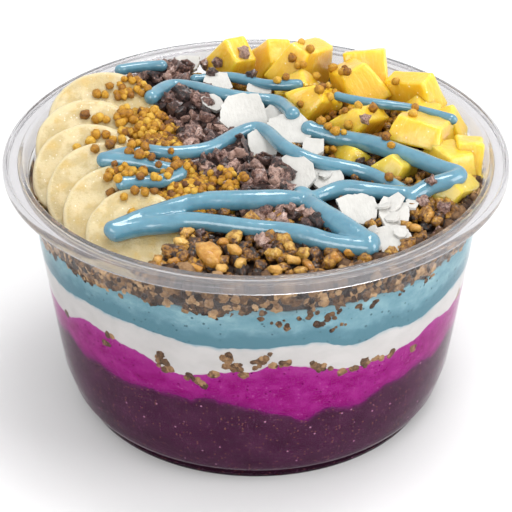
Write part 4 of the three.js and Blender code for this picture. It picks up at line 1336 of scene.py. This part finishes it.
class AddCacao(bpy.types.Operator):
    """Adds the heaps of cacao nibs"""

    bl_idname = "fruit_bowl.cacao"
    bl_label = "Cacao nibs"

    def execute(self, context):
        stops = [
            (0.12, colour(28, 16, 16)), (0.34, colour(84, 56, 50)), (0.55, colour(138, 101, 90)),
            (0.8, colour(206, 168, 152)),
        ]
        nibs = lump_finish(
            "cacao_nib", stops, 0.8, 1.0, 1.5, Roughness=0.3, Coat_Weight=0.6, Coat_Roughness=0.1
        )
        size = sizes().nib / MM
        rng = random.Random(21)
        heap = Scatter("shard", 22, 0.1)
        for spot in heap_spots(NIB_HEAPS, rng, HEAPED_NIBS):
            grown = size * (0.6 + 0.7 * rng.random())
            stretch = [grown * (0.8 + 0.6 * rng.random()) for _ in range(2)]
            stretch.append(grown * (0.5 + 0.35 * rng.random()))
            lift = grown * (0.9 * rng.random() - 0.45)
            spot.z = min(spot.z + lift, under_drizzle(spot.x, spot.y, grown) - 0.7 * grown)
            heap.add(spot, stretch, 0.12 + 0.75 * rng.random())
        drop = seen_from_above([n for n in LAID if n != "bowl_shell"])
        for x, y in LOOSE_NIBS:
            z = drop(x, y)
            grown = size * (0.7 + 0.4 * rng.random())
            heap.add((x, y, z + 0.4 * grown), [grown] * 3, 0.25 + 0.5 * rng.random())
        finish_piece("cacao_shards", heap.done(), nibs, "cacao", sharp=48)
        self.cups(nibs)
        # Painted shade: the body of the heaps is nearly black, for the gaps between the nibs.
        painted_shade_core = shade_core_finish("cacao_core", 0.9, colour(26, 15, 14), colour(60, 38, 34))
        finish_piece("cacao_heap", heap_core(NIB_HEAPS, 0.8), painted_shade_core, "cacao", ["cacao_nibs"])
        return {"FINISHED"}

    def cups(self, nibs):
        """Shells of nibs, curled up and hollow."""
        all_cups = bmesh.new()
        scratch = bpy.data.meshes.new("scratch")
        for i, (at, radius, turn) in enumerate(CUPS):
            bm = bmesh.new()
            tones = bm.verts.layers.float.new("tone")
            bmesh.ops.create_uvsphere(bm, u_segments=18, v_segments=12, radius=radius)
            bmesh.ops.bisect_plane(
                bm, geom=bm.verts[:] + bm.edges[:] + bm.faces[:], plane_co=(0, 0, 0.3 * radius),
                plane_no=(0, 0.2, 1), clear_outer=True,
            )
            roughen(bm, 2.5, 0.9, seed=i)
            bmesh.ops.recalc_face_normals(bm, faces=bm.faces)
            bmesh.ops.solidify(bm, geom=bm.faces[:], thickness=0.5)
            for v in bm.verts:
                v[tones] = 0.3 + 0.1 * (i % 3)
            bmesh.ops.transform(bm, matrix=set_down(at, turn), verts=bm.verts)
            bm.to_mesh(scratch)
            bm.free()
            all_cups.from_mesh(scratch)
        bpy.data.meshes.remove(scratch)
        finish_piece("cacao_cups", all_cups, nibs, "cacao", sharp=60)


class AddPollen(bpy.types.Operator):
    """Adds the bee pollen, in heaps and as single beads on the other toppings"""

    bl_idname = "fruit_bowl.pollen"
    bl_label = "Bee pollen"

    def execute(self, context):
        stops = [
            (0.08, colour(94, 54, 20)), (0.3, colour(150, 97, 18)), (0.6, colour(192, 136, 20)),
            (1.0, colour(226, 184, 70)),
        ]
        beads = lump_finish("pollen_bead", stops, 1.0, 0.5, 1.1, Roughness=0.4)
        size = sizes().bead / MM
        rng = random.Random(31)
        heap = Scatter("bead", 32, 0.05)
        for spot in heap_spots(POLLEN_HEAPS, rng, HEAPED_BEADS):
            grown = size * (0.66 + 0.34 * rng.random())
            lift = grown * (1.5 * rng.random() - 0.6)
            spot.z = min(spot.z + lift, under_drizzle(spot.x, spot.y, grown) - 0.8 * grown)
            heap.add(spot, [grown] * 3, 0.05 + 0.9 * rng.random())
        drop = seen_from_above([n for n in LAID if n != "bowl_shell"])
        sprinkled = []
        for (x, y), (wide, deep), count in SPRINKLES:
            for _ in range(count):
                out, angle = math.sqrt(rng.random()), rng.random() * math.tau
                spot = (x + wide * out * math.cos(angle), y + deep * out * math.sin(angle), 0.68)
                if under_drizzle(*spot[:2], 0) > HIGHEST or rng.random() < 0.3:
                    sprinkled.append(spot)
        for x, y, share in [(*spot, 0.88) for spot in LOOSE_BEADS] + sprinkled:
            z = drop(x, y)
            grown = size * (share + 0.25 * rng.random())
            z = min(z + 0.6 * grown, HIGHEST - 1.1 * grown)
            heap.add((x, y, z), [grown] * 3, 0.2 + 0.65 * rng.random())
        finish_piece("pollen_beads", heap.done(), beads, "pollen")
        # Painted shade: the body of the heaps is dark brown, for the gaps between the beads.
        painted_shade_core = shade_core_finish("pollen_core", 0.9, colour(52, 32, 14), colour(96, 62, 24))
        finish_piece("pollen_heap", heap_core(POLLEN_HEAPS, 0.9), painted_shade_core, "pollen", ["bee_pollen"])
        return {"FINISHED"}


class AddStage(bpy.types.Operator):
    """Adds the pale floor, the soft light and the camera"""

    bl_idname = "fruit_bowl.stage"
    bl_label = "Stage"

    def execute(self, context):
        scene = context.scene
        pale = Finish("stage_floor", Base_Color=(0.78, 0.78, 0.78, 1), Roughness=0.9)
        bm = bmesh.new()
        bmesh.ops.create_grid(bm, x_segments=1, y_segments=1, size=6)
        mesh = bpy.data.meshes.new("floor")
        bm.to_mesh(mesh)
        bm.free()
        mesh.materials.append(pale.material)
        floor = bpy.data.objects.new("floor", mesh)
        floor.location.z = -0.0001
        scene.collection.objects.link(floor)
        floor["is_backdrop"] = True

        world = bpy.data.worlds.new("studio")
        world.use_nodes = True
        air = world.node_tree.nodes["Background"]
        air.inputs["Color"].default_value = (1, 1, 1, 1)
        air.inputs["Strength"].default_value = 0.95
        scene.world = world
        self.lamp("key", (0.2, 0.16, 1.0), 4.6, 0.4)
        self.lamp("side", (0.9, -0.3, 0.45), 4.9, 0.6)
        self.lamp("fill", (-0.35, -0.85, 0.5), 3.2, 0.5)

        data = bpy.data.cameras.new("camera")
        data.lens = LENS
        data.sensor_width = SENSOR
        camera = bpy.data.objects.new("camera", data)
        camera.location = CAMERA_PLACE
        camera.rotation_euler = (math.radians(CAMERA_LEAN), 0, 0)
        scene.collection.objects.link(camera)
        scene.camera = camera
        scene.view_settings.view_transform = "Standard"
        return {"FINISHED"}

    @staticmethod
    def lamp(name, place, power, size):
        data = bpy.data.lights.new(name, "AREA")
        data.energy = power
        data.size = size
        lamp = bpy.data.objects.new(name, data)
        lamp.location = place
        aim = Vector((0, 0, 0.05)) - Vector(place)
        lamp.rotation_euler = aim.to_track_quat("-Z", "Y").to_euler()
        bpy.context.scene.collection.objects.link(lamp)


PIECES = [
    AddStage, AddBowl, AddLayers, AddGranola, AddBananas, AddPineapple, AddCoconut, AddDrizzle,
    AddCacao, AddPollen,
]


class FruitBowlPanel(bpy.types.Panel):
    """Lists the pieces of the bowl"""

    bl_idname = "VIEW3D_PT_fruit_bowl"
    bl_label = "Fruit Bowl"
    bl_space_type = "VIEW_3D"
    bl_region_type = "UI"
    bl_category = "Fruit Bowl"

    def draw(self, context):
        column = self.layout.column()
        for group in (context.scene.fruit_bowl_sizes, context.scene.fruit_bowl_colours):
            for name in group.__annotations__:
                column.prop(group, name)
        for operator in PIECES:
            column.operator(operator.bl_idname)


CLASSES = [BowlSizes, BowlColours, *PIECES, FruitBowlPanel]


def register():
    for kind in CLASSES:
        bpy.utils.register_class(kind)
    bpy.types.Scene.fruit_bowl_sizes = PointerProperty(type=BowlSizes)
    bpy.types.Scene.fruit_bowl_colours = PointerProperty(type=BowlColours)


def unregister():
    del bpy.types.Scene.fruit_bowl_colours
    del bpy.types.Scene.fruit_bowl_sizes
    for kind in reversed(CLASSES):
        bpy.utils.unregister_class(kind)


def main():
    register()
    for operator in PIECES:
        group, name = operator.bl_idname.split(".")
        getattr(getattr(bpy.ops, group), name)()
    boxes = {"cad": CAD_BOX, "visual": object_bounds()}
    {k: [list(corner) for corner in box] for k, box in boxes.items()}


if __name__ == "__main__":
    main()
